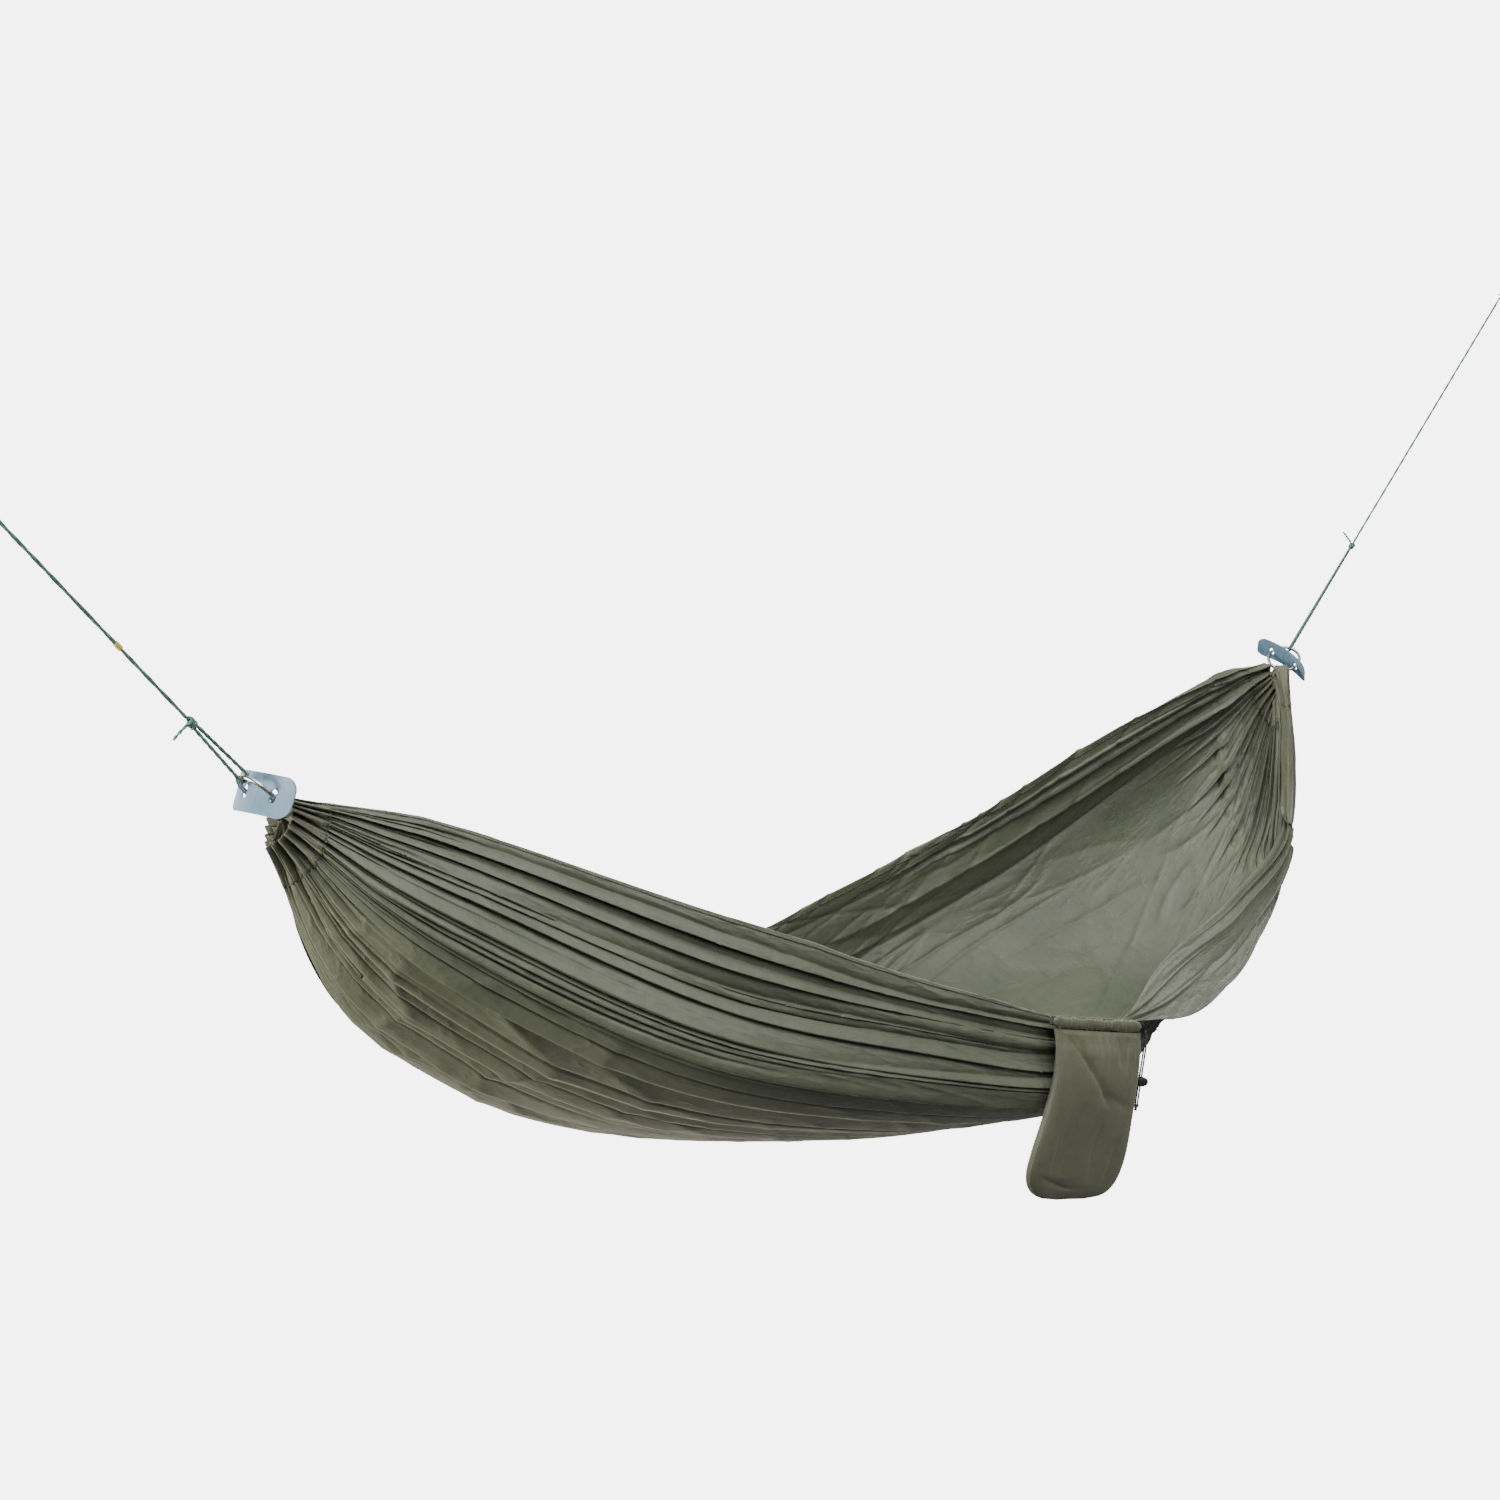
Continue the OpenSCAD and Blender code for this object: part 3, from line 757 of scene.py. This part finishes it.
# Long folds: share across at the left and right end of the fold, where along the
# cloth it starts and ends, its depth in mm (minus: pressed outwards) and its width
LONG_FOLDS = [
    (0.034, 0.046, 0.03, 0.60, 9, 0.010), (0.080, 0.100, 0.03, 0.56, 12, 0.014),
    (0.150, 0.165, 0.04, 0.50, 10, 0.013), (0.120, 0.070, 0.28, 0.70, 9, 0.016),
    (0.205, 0.150, 0.22, 0.66, 9, 0.015), (0.290, 0.215, 0.20, 0.62, 7, 0.016),
    (0.952, 0.958, 0.38, 0.985, -11, 0.011), (0.905, 0.915, 0.42, 0.98, 10, 0.013),
    (0.840, 0.875, 0.50, 0.97, -13, 0.015), (0.240, 0.225, 0.56, 0.985, -15, 0.014),
    (0.345, 0.300, 0.58, 0.90, -24, 0.013), (0.130, 0.110, 0.60, 0.985, 10, 0.012),
    (0.180, 0.165, 0.56, 0.985, 8, 0.013), (0.070, 0.060, 0.62, 0.985, -8, 0.012),
]


def long_folds(t, s):
    press = np.zeros(t.shape)
    for k, (s0, s1, t0, t1, depth, width) in enumerate(LONG_FOLDS):
        share = np.clip((t - t0) / (t1 - t0), 0, 1)
        line = s0 + (s1 - s0) * share + 0.008 * noise(50 + k, t * 11, 0.5)
        bell = np.sin(pi * share) ** 0.7 * (0.8 + 0.45 * noise(80 + k, t * 14, 0.3))
        press -= depth * MM * bell * np.exp(-np.abs(s - line) / width)
    return press


# Fine creases: angle to the length in radians, length, width and depth
CREASES = [(0.35, 0.20, 0.032, 5.2), (0.16, 0.15, 0.025, 4.2), (0.58, 0.12, 0.022, 3.8),
           (-0.22, 0.18, 0.036, 2.6), (0.42, 0.08, 0.018, 2.9)]
NEAR_SIDE_CALM = 0.25  # share of the creases that is left where the cloth is taut


def creases(t, s):
    """Small sharp creases, slanting across the cloth."""
    x, y = t * CUT_LENGTH, s * CUT_WIDTH
    press = np.zeros(t.shape)
    for k, (angle, long, wide, size) in enumerate(CREASES):
        p = (x * cos(angle) + y * sin(angle)) / long
        q = (y * cos(angle) - x * sin(angle)) / wide
        ridge = 1 - np.abs(noise(20 + k, p, q))
        patchy = smooth(0.5 + 0.9 * noise(30 + k, x / 0.25, y / 0.2))
        press += size * MM * (ridge ** 9 - 0.15) * patchy
    taut = np.maximum(smooth((0.72 - s) / 0.08) * smooth((0.62 - t) / 0.1), smooth((0.32 - s) / 0.06))
    return press * (1 - (1 - NEAR_SIDE_CALM) * taut)


TUCK_LINE, TUCK_DEPTH, TUCK_LONG = 0.885, 15 * MM, 0.010


def cross_tuck(t, s):
    """The pocket fold across the bed, where the right pleats end."""
    line = TUCK_LINE + 0.016 * np.sin(9 * s) + 0.006 * noise(120, s * 12, 0.5)
    across = band(s, 0.42, 0.84, 0.05, 0.05)
    above = np.clip((t - line) / TUCK_LONG, 0, None)
    return -TUCK_DEPTH * across * above * np.exp(1 - above) * (t > line)


SWELL, CRUMPLE = 4, 7  # mm: of the whole sheet, and of the part under the left end
EDGE_DROP, EDGE_WAVE = 9, 4  # mm: how far the two long edges dip and wander


def folded_sheet():
    t1, s1 = np.linspace(0, 1, ROWS), np.linspace(0, 1, COLS)
    points = base_sheet(t1, s1)
    t, s = np.meshgrid(t1, s1, indexing="ij")
    width = np.linalg.norm(np.diff(points, axis=1), axis=2).sum(1)[:, None]
    _, across, normal = sheet_frame(points)
    press, lean = pleats(t, s, count=19, seed=11, depth=LEFT_DEPTH, reach=0.62, hem_fold=2.2)
    # Under a person's head the bed is smooth, so the right pleats stop short of it
    bed = band(s, 0.30, 0.93, 0.08, 0.05)
    right = pleats(1 - t, s, count=25, seed=21, depth=RIGHT_DEPTH, reach=0.34)
    stop = 1 - bed * smooth(((1 - t) - 0.10) / 0.055)
    press, lean = press + right[0] * stop, lean + right[1] * stop
    for made in (pleats(t, s, count=46, seed=31, depth=FINE_DEPTH, reach=0.15),
                 pleats(1 - t, s, count=56, seed=41, depth=FINE_DEPTH, reach=0.17)):
        press, lean = press + made[0], lean + made[1]
    # The near side is pulled into long folds right down to the keel
    low = band(s, 0.24, 0.72, 0.08, 0.08)
    radial = pleats(t, s, count=38, seed=71, depth=LOWER_DEPTH, reach=0.50)
    press, lean = press + radial[0] * low, lean + radial[1] * low
    press += bunch(t, s, count=15, seed=101) + bunch(1 - t, s, count=17, seed=111)
    calm = smooth(np.minimum(t, 1 - t) / 0.10)
    press = press + long_folds(t, s) + calm * creases(t, s) + cross_tuck(t, s)
    press += calm * SWELL * MM * noise(61, t * 9, s * 6)
    crumpled = np.exp(-((t - 0.17) / 0.08) ** 2 - ((s - 0.50) / 0.14) ** 2)
    press += crumpled * CRUMPLE * MM * (1 - np.abs(noise(66, t * 34, s * 26))) ** 4
    rim = np.exp(-np.minimum(s, 1 - s) / 0.05)
    kink = np.abs(noise(63, t * 17, np.round(s)))
    wander = calm * (0.010 * noise(65, t * 6, s * 9) + 0.004 * noise(67, t * 15, s * 14))
    inside = smooth(np.minimum(s, 1 - s) / 0.06)
    points = points + normal * press[..., None] + across * (lean + wander * inside * width)[..., None]
    points[..., 2] -= calm * rim * EDGE_DROP * MM * kink
    points += across * (calm * rim * EDGE_WAVE * MM * noise(64, t * 21, np.round(s)))[..., None]
    return points


sheet_points = folded_sheet()
sheet_along, sheet_across, sheet_normal = sheet_frame(sheet_points)
SHEET_UV = flat_uv(ROWS, COLS, CUT_WIDTH, CUT_LENGTH)


STITCH_SIZE = 0.42 * MM
STITCH_SHAPE = [(-0.5, 0.25), (-0.3, 0.9), (0, 1.0), (0.3, 0.9), (0.5, 0.25)]
STITCH_SIDES = 6


def stitches(path, normals, lift, pitch=4.4 * MM, long=3.0 * MM):
    """Short raised stitches along a line on the cloth."""
    path, normals = np.asarray(path, float), np.asarray(normals, float)
    run = run_along(path)
    at = np.arange(pitch, run[-1] - pitch, pitch)

    def pick(values, where):
        return np.stack([np.interp(where, run, values[:, k]) for k in range(3)], -1)

    centre, n = pick(path, at), unit(pick(normals, at))
    ahead = unit(pick(path, at + long / 2) - pick(path, at - long / 2))
    wide = np.cross(n, ahead)
    centre = centre + n * lift
    rings = []
    for share, size in STITCH_SHAPE:
        for a in np.arange(STITCH_SIDES) * pi / 3:
            rings.append(centre + ahead * share * long + STITCH_SIZE * size
                         * (cos(a) * wide + sin(a) * n))
    points = np.stack(rings, 1)
    rows, each = len(STITCH_SHAPE), len(rings)
    one = grid_faces(rows, STITCH_SIDES, wrap=True) + end_faces(rows, STITCH_SIDES)
    faces = [[v + each * k for v in f] for k in range(len(at)) for f in one]
    uv = np.zeros((len(at) * each, 2))
    uv[:, 0] = np.tile(np.arange(each) % STITCH_SIDES / STITCH_SIDES, len(at))
    uv[:, 1] = np.repeat(at, each)
    return points, faces, uv, THREAD


def folded_band(rows, normals, edge, half, width, length):
    """Doubled cloth round an edge. rows go from the edge inwards, over the sheet."""
    outer, inner = rows + normals * half, rows - normals * half
    lip = rows[0] + edge * half * 1.3
    ring = np.concatenate([outer[::-1], lip[None], inner])
    count, steps = len(ring), ring.shape[1]
    points = np.swapaxes(ring, 0, 1)
    faces = grid_faces(steps, count, wrap=True) + end_faces(steps, count)
    return points, faces, flat_uv(steps, count, width, length), HEM


HEM_HALF, CHANNEL_HALF = 0.9 * MM, 0.8 * MM  # half the thickness of the doubled cloth
HEM_COLUMNS, CHANNEL_ROWS = 7, 11


def side_hem(name, columns, node):
    """A hem folded double along one long edge, with its row of stitches."""
    rows, normals = (np.swapaxes(v[:, columns], 0, 1) for v in (sheet_points, sheet_normal))
    edge = (-1 if columns[0] == 0 else 1) * sheet_across[:, columns[0]]
    parts = [folded_band(rows, normals, edge, HEM_HALF, 0.04, CUT_LENGTH)]
    for face in (1, -1):
        parts.append(stitches(rows[-2], normals[-2] * face, 1.1 * MM))
    return make(name, parts, "hammock", [node])


PUCKER_DEPTH = 12 * MM  # how far beyond the ring the puckered cloth meets its cord
CAP_ROWS, CAP_CLOSED = 12, 0.94  # how nearly the cloth closes round the cord
RIDGES, RIDGE_HEIGHT = 31, 2.6 * MM


def puckered_cap(rim, side):
    """The channel's cloth drawn in from its rim to the gather cord."""
    ring = side["ring"][:, 2]
    heart = side["top"] - ring * (2 * RING_R + PUCKER_DEPTH)
    share = np.linspace(0, CAP_CLOSED, CAP_ROWS)[:, None]
    around = np.linspace(0, 1, len(rim))[None]
    drawn = smooth(share) * 0.35 + share * 0.65
    points = rim[None] * (1 - drawn[..., None]) + heart * drawn[..., None]
    swell = np.sin(pi * share) * (6 + 3.0 * noise(130, around * 34, share * 2)) * MM
    ridges = RIDGE_HEIGHT * np.sin(pi * share) * np.sin(tau * RIDGES * around)
    points = points - ring * (swell + ridges)[..., None]
    uv = flat_uv(CAP_ROWS, len(rim), CUT_WIDTH, 0.05)
    return points, grid_faces(CAP_ROWS, len(rim)), uv, HEM


def end_channel(name, indices, node, side):
    """The sewn channel across one gathered end, with two rows of stitches."""
    rows, normals = sheet_points[indices], sheet_normal[indices]
    edge = (-1 if indices[0] == 0 else 1) * sheet_along[indices[0]]
    parts = [folded_band(rows, normals, edge, CHANNEL_HALF, 0.08, CUT_WIDTH),
             puckered_cap(rows[0], side)]
    for face in (1, -1):
        for row in (-1, -3):
            parts.append(stitches(rows[row], normals[row] * face, 1.0 * MM))
    return make(name, parts, "hammock", [node])


canopy_piece = make("canopy_cloth", [(sheet_points, grid_faces(ROWS, COLS), SHEET_UV, CLOTH)],
                    "hammock", ["canopy"])
hem_columns, channel_rows = np.arange(HEM_COLUMNS), np.arange(CHANNEL_ROWS)
cloth_trim = [
    side_hem("front_hem", hem_columns, "front_side_hem"),
    side_hem("back_hem", COLS - 1 - hem_columns, "back_side_hem"),
    end_channel("left_channel", channel_rows, "left_end_channel", SIDES["left"]),
    end_channel("right_channel", ROWS - 1 - channel_rows, "right_end_channel", SIDES["right"]),
]

# ---- end pads

PAD_HALF_LENGTH, PAD_HALF_WIDTH, PAD_T = 55.0, 23.0, 1.6
PAD_CORNER, PAD_BOW, PAD_SADDLE = 14.0, 150.0, 120.0
PAD_RISE, PAD_TWIST = 2.5, 900
SLOT_HALF, SLOT_R = 3.2, 4.3


def pad_edge(direction, centre_y):
    """Distance from a slot's centre to the pad's outline, on one half of the pad."""
    low, high = 0.0, 80.0
    for _ in range(40):
        r = (low + high) / 2
        x, y = direction[0] * r, centre_y + direction[1] * r
        dx = max(abs(x) - (PAD_HALF_WIDTH - PAD_CORNER), 0)
        dy = max(y - (PAD_HALF_LENGTH - PAD_CORNER), 0)
        inside = y > 0 and abs(x) < PAD_HALF_WIDTH and hypot(dx, dy) < PAD_CORNER
        low, high = (r, high) if inside else (low, r)
    return low


def pad(side, s, flex):
    """A bowed, slightly saddle-shaped plate with a slot for each side of the ring."""
    around, out = 96, 12
    halves = []
    for k in range(around):
        a = tau * k / around
        d = np.array([cos(a), sin(a)])
        slot = np.array([np.clip(d[0] * 9, -SLOT_HALF, SLOT_HALF), 0]) + SLOT_R * d
        rim = pad_edge(d, RING_R / MM) * d
        for j in range(out + 1):
            share = j / out
            halves.append(slot + (rim - slot) * (1 - (1 - share) ** 1.4))
    flat = np.array(halves).reshape(around, out + 1, 2)
    parts = []
    for mirror in (1, -1):
        x, y = flat[..., 0], mirror * (flat[..., 1] + RING_R / MM)
        bend = -(y ** 2) / (2 * PAD_BOW) + x ** 2 / (2 * PAD_SADDLE) + flex * x * y / PAD_TWIST
        sheet = np.stack([x, y, bend], -1)
        n = sheet_frame(sheet)[2]
        n = n * np.sign(n[..., 2:3])
        soft = np.ones(out + 1)
        soft[0] = soft[-1] = 0.55
        half = n * (PAD_T / 2 * soft)[None, :, None]
        top, low = sheet + half, sheet - half
        ring = np.concatenate([top, low[:, ::-1]], 1)
        centre = s["top"] - s["basis"][:, 2] * RING_R
        shift = np.array([0, 0, PAD_RISE - PAD_T / 2])
        points = local(s["pad"], centre, ring.reshape(-1, 3) + shift)
        faces = grid_faces(around, 2 * (out + 1), wrap=True, ring=True)
        if mirror > 0:
            faces = [face[::-1] for face in faces]
        parts.append((points, faces, ring[..., :2] * MM, PAD))
    return make(side + "_pad", parts, "hammock", [side + "_end_pad"])


pad("left", SIDES["left"], 0.6)
pad("right", SIDES["right"], -1.0)

# ---- stuff sack

# Sections of the bag: depth, width and thickness in percent, then the shift of its
# middle sideways and outwards in millimetres
SACK_SECTIONS = np.array([
    (0, 99, 22, 0, -2), (6, 97, 40, -1, -6), (14, 95, 62, -4, -11), (30, 94, 88, -9, -16),
    (50, 98, 98, -17, -18), (70, 104, 94, -26, -19), (84, 103, 80, -31, -18),
    (93, 91, 58, -31, -17), (98, 68, 34, -28, -16), (100, 30, 8, -26, -16)], float)

# Folds of the bag: where each starts and ends, sideways in mm and down as a share of
# the bag's height, then its depth and width in mm
SACK_FOLDS = [
    (-82, 0.02, 18, 0.44, 7, 9), (-58, 0.02, -30, 0.26, 4, 7), (6, 0.35, 80, 0.47, 4, 20),
    (32, 0.02, 38, 0.20, 4, 6), (58, 0.02, 56, 0.24, 5, 6), (82, 0.03, 74, 0.30, 4, 7),
    (-88, 0.30, -66, 0.84, 5, 12), (-34, 0.42, -46, 0.86, 3.5, 14), (16, 0.52, 26, 0.90, 4, 12),
    (-84, 0.84, -12, 0.94, 4, 16), (58, 0.62, 66, 0.92, 3.5, 10),
]


def sack_bag():
    """An empty pouch, gathered at its mouth, with a sewn seam down each side."""
    rows, cols = 110, 220
    share = np.linspace(0, 1, rows)
    cut = through(SACK_SECTIONS, share)
    a = np.linspace(0, tau, cols, endpoint=False)
    rise, turn = np.meshgrid(cut[:, 0] / 100, a, indexing="ij")
    x = SACK_WIDTH / 200 * cut[:, 1:2] * np.cos(turn)
    thick = SACK_T / 200 * cut[:, 2:3]
    y = thick * np.sign(np.sin(turn)) * np.abs(np.sin(turn)) ** 0.8
    z = -CASING_R - SACK_HEIGHT * rise
    front = (np.sin(turn) < 0).astype(float)
    gathers = np.abs(noise(5, (x + 30 * rise) / 10, front * 9 + 0.5))
    fold = 5.0 * gathers ** 0.7 * np.exp(-rise / 0.16) * smooth(rise / 0.03)
    fold += 4.5 * noise(71, x / 55 + 3, rise * 3 + front * 17) * smooth(rise / 0.15)
    for x0, rise0, x1, rise1, depth, wide in SACK_FOLDS:
        share = np.clip((rise - rise0) / (rise1 - rise0), 0, 1)
        line = x0 + (x1 - x0) * share + 5 * np.sin(3 * share + x0)
        shift = np.where(front > 0, 0.0, 37.0)
        bell = np.sin(pi * share) ** 0.6
        fold -= depth * bell * np.exp(-np.abs(x - line - shift) / wide)
    level = np.sin(turn)
    y = y + level * fold * np.abs(level) ** 0.3
    seam = np.exp(-np.abs(level) / 0.035)
    x = x + np.sign(np.cos(turn)) * seam * 1.6
    points = np.stack([x + cut[:, 3:4], y + cut[:, 4:5], z], -1)
    faces = grid_faces(rows, cols, wrap=True) + end_faces(rows, cols, first=False)
    uv = flat_uv(rows, cols, SACK_ROUND, SACK_LONG)
    world = in_sack(points.reshape(-1, 3))
    grid = world.reshape(rows, cols, 3)
    parts = [(world, faces, uv, LINING)]
    n = sheet_frame(grid)[2]
    n = n * np.sign(((grid - grid.mean(1, keepdims=True)) * n).sum(-1, keepdims=True))
    for k in (6, cols - 6, cols // 2 - 6, cols // 2 + 6):
        parts.append(stitches(grid[4:-8, k], n[4:-8, k], 0.2 * MM, **SACK_STITCH))
    return make("sack_pouch", parts, "sack", ["sack_bag"])


def sack_casing():
    """The rolled mouth casing, gathered on its cord, with a row of stitches."""
    rows, cols = 210, 40
    along = np.linspace(-1, 1, rows)
    a = np.linspace(0, tau, cols, endpoint=False)
    x, turn = np.meshgrid(along * SACK_WIDTH / 2, a, indexing="ij")
    ruffle = noise(90, x / 3.4, np.cos(turn) * 0.8) + 0.6 * noise(91, x / 8, np.sin(turn))
    half_y = 4.6 + 0.5 * noise(92, x / 25, 0)
    half_z = 7.4 + 0.6 * noise(93, x / 30, 0)
    end = np.sqrt(np.clip(1 - np.abs(along) ** 24, 0.12, 1))[:, None]
    y = (half_y + 1.0 * ruffle) * np.cos(turn) * end
    z = (half_z + 0.9 * ruffle) * np.sin(turn) * end
    z = z + 2.2 * np.exp(-((x + 96) / 10) ** 2) * np.clip(np.sin(turn), 0, 1)
    points = np.stack([x, y - 0.5, z], -1)
    world = in_sack(points.reshape(-1, 3))
    faces = grid_faces(rows, cols, wrap=True) + end_faces(rows, cols)
    grid = world.reshape(rows, cols, 3)
    low = cols * 3 // 4 - 4
    line, n = grid[4:-4, low], unit(grid[4:-4, low] - grid[4:-4].mean(1))
    parts = [(world, faces, flat_uv(rows, cols, 0.05, SACK_WIDTH * MM), LINING),
             stitches(line, n, 0.2 * MM, **SACK_STITCH)]
    return make("sack_mouth", parts, "sack", ["sack_mouth_casing"])


TAPE_HALF, TAPE_TOP, TAPE_FOOT = 98, 7, -5


def hang_tape():
    """The strip that joins the sack to the hem, with a stitched edge."""
    rows, cols = 120, 9
    x = np.linspace(-TAPE_HALF, TAPE_HALF, rows)
    z = np.linspace(TAPE_TOP, TAPE_FOOT, cols)
    xx, zz = np.meshgrid(x, z, indexing="ij")
    wave = 0.35 * noise(95, xx / 9, zz / 6)
    face = np.stack([xx, CASING_R + 1.7 + wave, zz], -1)
    world = in_sack(face.reshape(-1, 3)).reshape(rows, cols, 3)
    n = np.broadcast_to(np.array([0, 1.0, 0]), (cols, rows, 3))
    edge = np.broadcast_to(SACK[:, 2], (rows, 3))
    line = np.swapaxes(world, 0, 1)
    strip = folded_band(line, n, edge, HEM_HALF, 0.02, 0.2)
    sewn = stitches(line[2], -n[2], 1.0 * MM, **SACK_STITCH)
    return make("hang_strip", [strip, sewn], "hammock", ["sack_hang_tape"])


sack_bag()
sack_casing()
hang_tape()

# ---- shown CAD nodes

KEPT = {
    "left_thimble": STEEL, "right_thimble": STEEL, "left_ring": STEEL, "right_ring": STEEL,
    "cord_lock_spring": STEEL, "sack_eyelet": BLACK, "cord_lock_body": BLACK,
    "cord_lock_button": BLACK,
}
for node_name, node_look in KEPT.items():
    mesh = frame["nodes"][node_name].data
    mesh.materials.clear()
    mesh.materials.append(node_look)

# ---- stage and light

FLOOR_Z = -1.95
BACKDROP = 6.0  # brightness of the floor and the backdrop as the camera sees them


def bright_to_camera(tree, lit, shown, output):
    """Shows the camera one shader, and lights the object with another."""
    either = tree.nodes.new("ShaderNodeMixShader")
    seen = tree.nodes.new("ShaderNodeLightPath").outputs["Is Camera Ray"]
    for i, source in enumerate((seen, lit, shown)):
        tree.links.new(source, either.inputs[i])
    tree.links.new(either.outputs[0], tree.nodes[output].inputs["Surface"])


FLOOR_REACH = 60.0


def floor():
    k = Look("pale_floor")
    cloud = k.grain(0.8, 3)
    k.wire(
        colour=k.ramp(cloud, [(0.3, (0.09, 0.09, 0.09)), (0.7, (0.10, 0.10, 0.10))]),
        roughness=k.span(cloud, 0.75, 0.85))
    glow = k.add("ShaderNodeEmission", Strength=BACKDROP)
    bright_to_camera(k.tree, k.bsdf.outputs[0], glow.outputs[0], "Material Output")
    mesh = bpy.data.meshes.new("floor")
    corners = [(-1, -1), (1, -1), (1, 1), (-1, 1)]
    mesh.from_pydata([(x * FLOOR_REACH, y * FLOOR_REACH, 0) for x, y in corners], [],
                     [(0, 1, 2, 3)])
    mesh.materials.append(k.mat)
    obj = bpy.data.objects.new("floor", mesh)
    obj.location = (1.4, 0, FLOOR_Z)
    scene.collection.objects.link(obj)


def area_light(name, place, target, size, power, colour=(1, 1, 1)):
    data = bpy.data.lights.new(name, "AREA")
    data.shape = "SQUARE"
    data.size = size
    data.energy = power
    data.color = colour
    obj = bpy.data.objects.new(name, data)
    obj.location = place
    aim = Vector(target) - Vector(place)
    obj.rotation_euler = aim.to_track_quat("-Z", "Y").to_euler()
    scene.collection.objects.link(obj)


def world(low, high):
    """Soft light from overhead that fades towards the horizon."""
    w = bpy.data.worlds.new("studio")
    w.use_nodes = True
    tree = w.node_tree
    back = tree.nodes["Background"]
    back.inputs["Color"].default_value = (1, 1, 1, 1)
    apart = tree.nodes.new("ShaderNodeSeparateXYZ")
    rise = tree.nodes.new("ShaderNodeMapRange")
    for socket, value in zip(("From Min", "From Max", "To Min", "To Max"), (0.0, 0.8, low, high)):
        rise.inputs[socket].default_value = value
    sky = tree.nodes.new("ShaderNodeTexCoord").outputs["Generated"]
    tree.links.new(sky, apart.inputs[0])
    tree.links.new(apart.outputs["Z"], rise.inputs["Value"])
    tree.links.new(rise.outputs[0], back.inputs["Strength"])
    shown = tree.nodes.new("ShaderNodeBackground")
    shown.inputs["Color"].default_value = (1, 1, 1, 1)
    shown.inputs["Strength"].default_value = BACKDROP
    bright_to_camera(tree, back.outputs[0], shown.outputs[0], "World Output")
    scene.world = w


SKY_LOW, SKY_HIGH = 0.10, 0.66  # brightness at the horizon and overhead
TARGET = (1.4, 0, -0.6)
# Name, place, where it points, side of the square in metres, watts, colour if not white
LIGHTS = [
    ("key", (0.6, -0.9, 3.0), TARGET, 2.0, 88),
    ("front", (-0.9, -2.6, 3.2), (1.5, 0.1, -0.6), 2.4, 152),
    ("left_warm", (-2.6, 1.4, -0.5), (0.50, 0, -0.68), 1.6, 300, (1.0, 0.95, 0.85)),
    ("bed", (2.3, -2.3, 1.6), (1.7, 0.3, -0.7), 1.2, 27),
    ("back_top", (2.8, 1.8, 2.2), TARGET, 2.0, 45),
    ("behind", (1.0, 3.4, 0.5), TARGET, 2.2, 95),
    ("right_end", (4.7, 1.0, 0.3), (2.0, 0, -0.6), 1.6, 35),
]

floor()
world(SKY_LOW, SKY_HIGH)
for light in LIGHTS:
    area_light(*light)
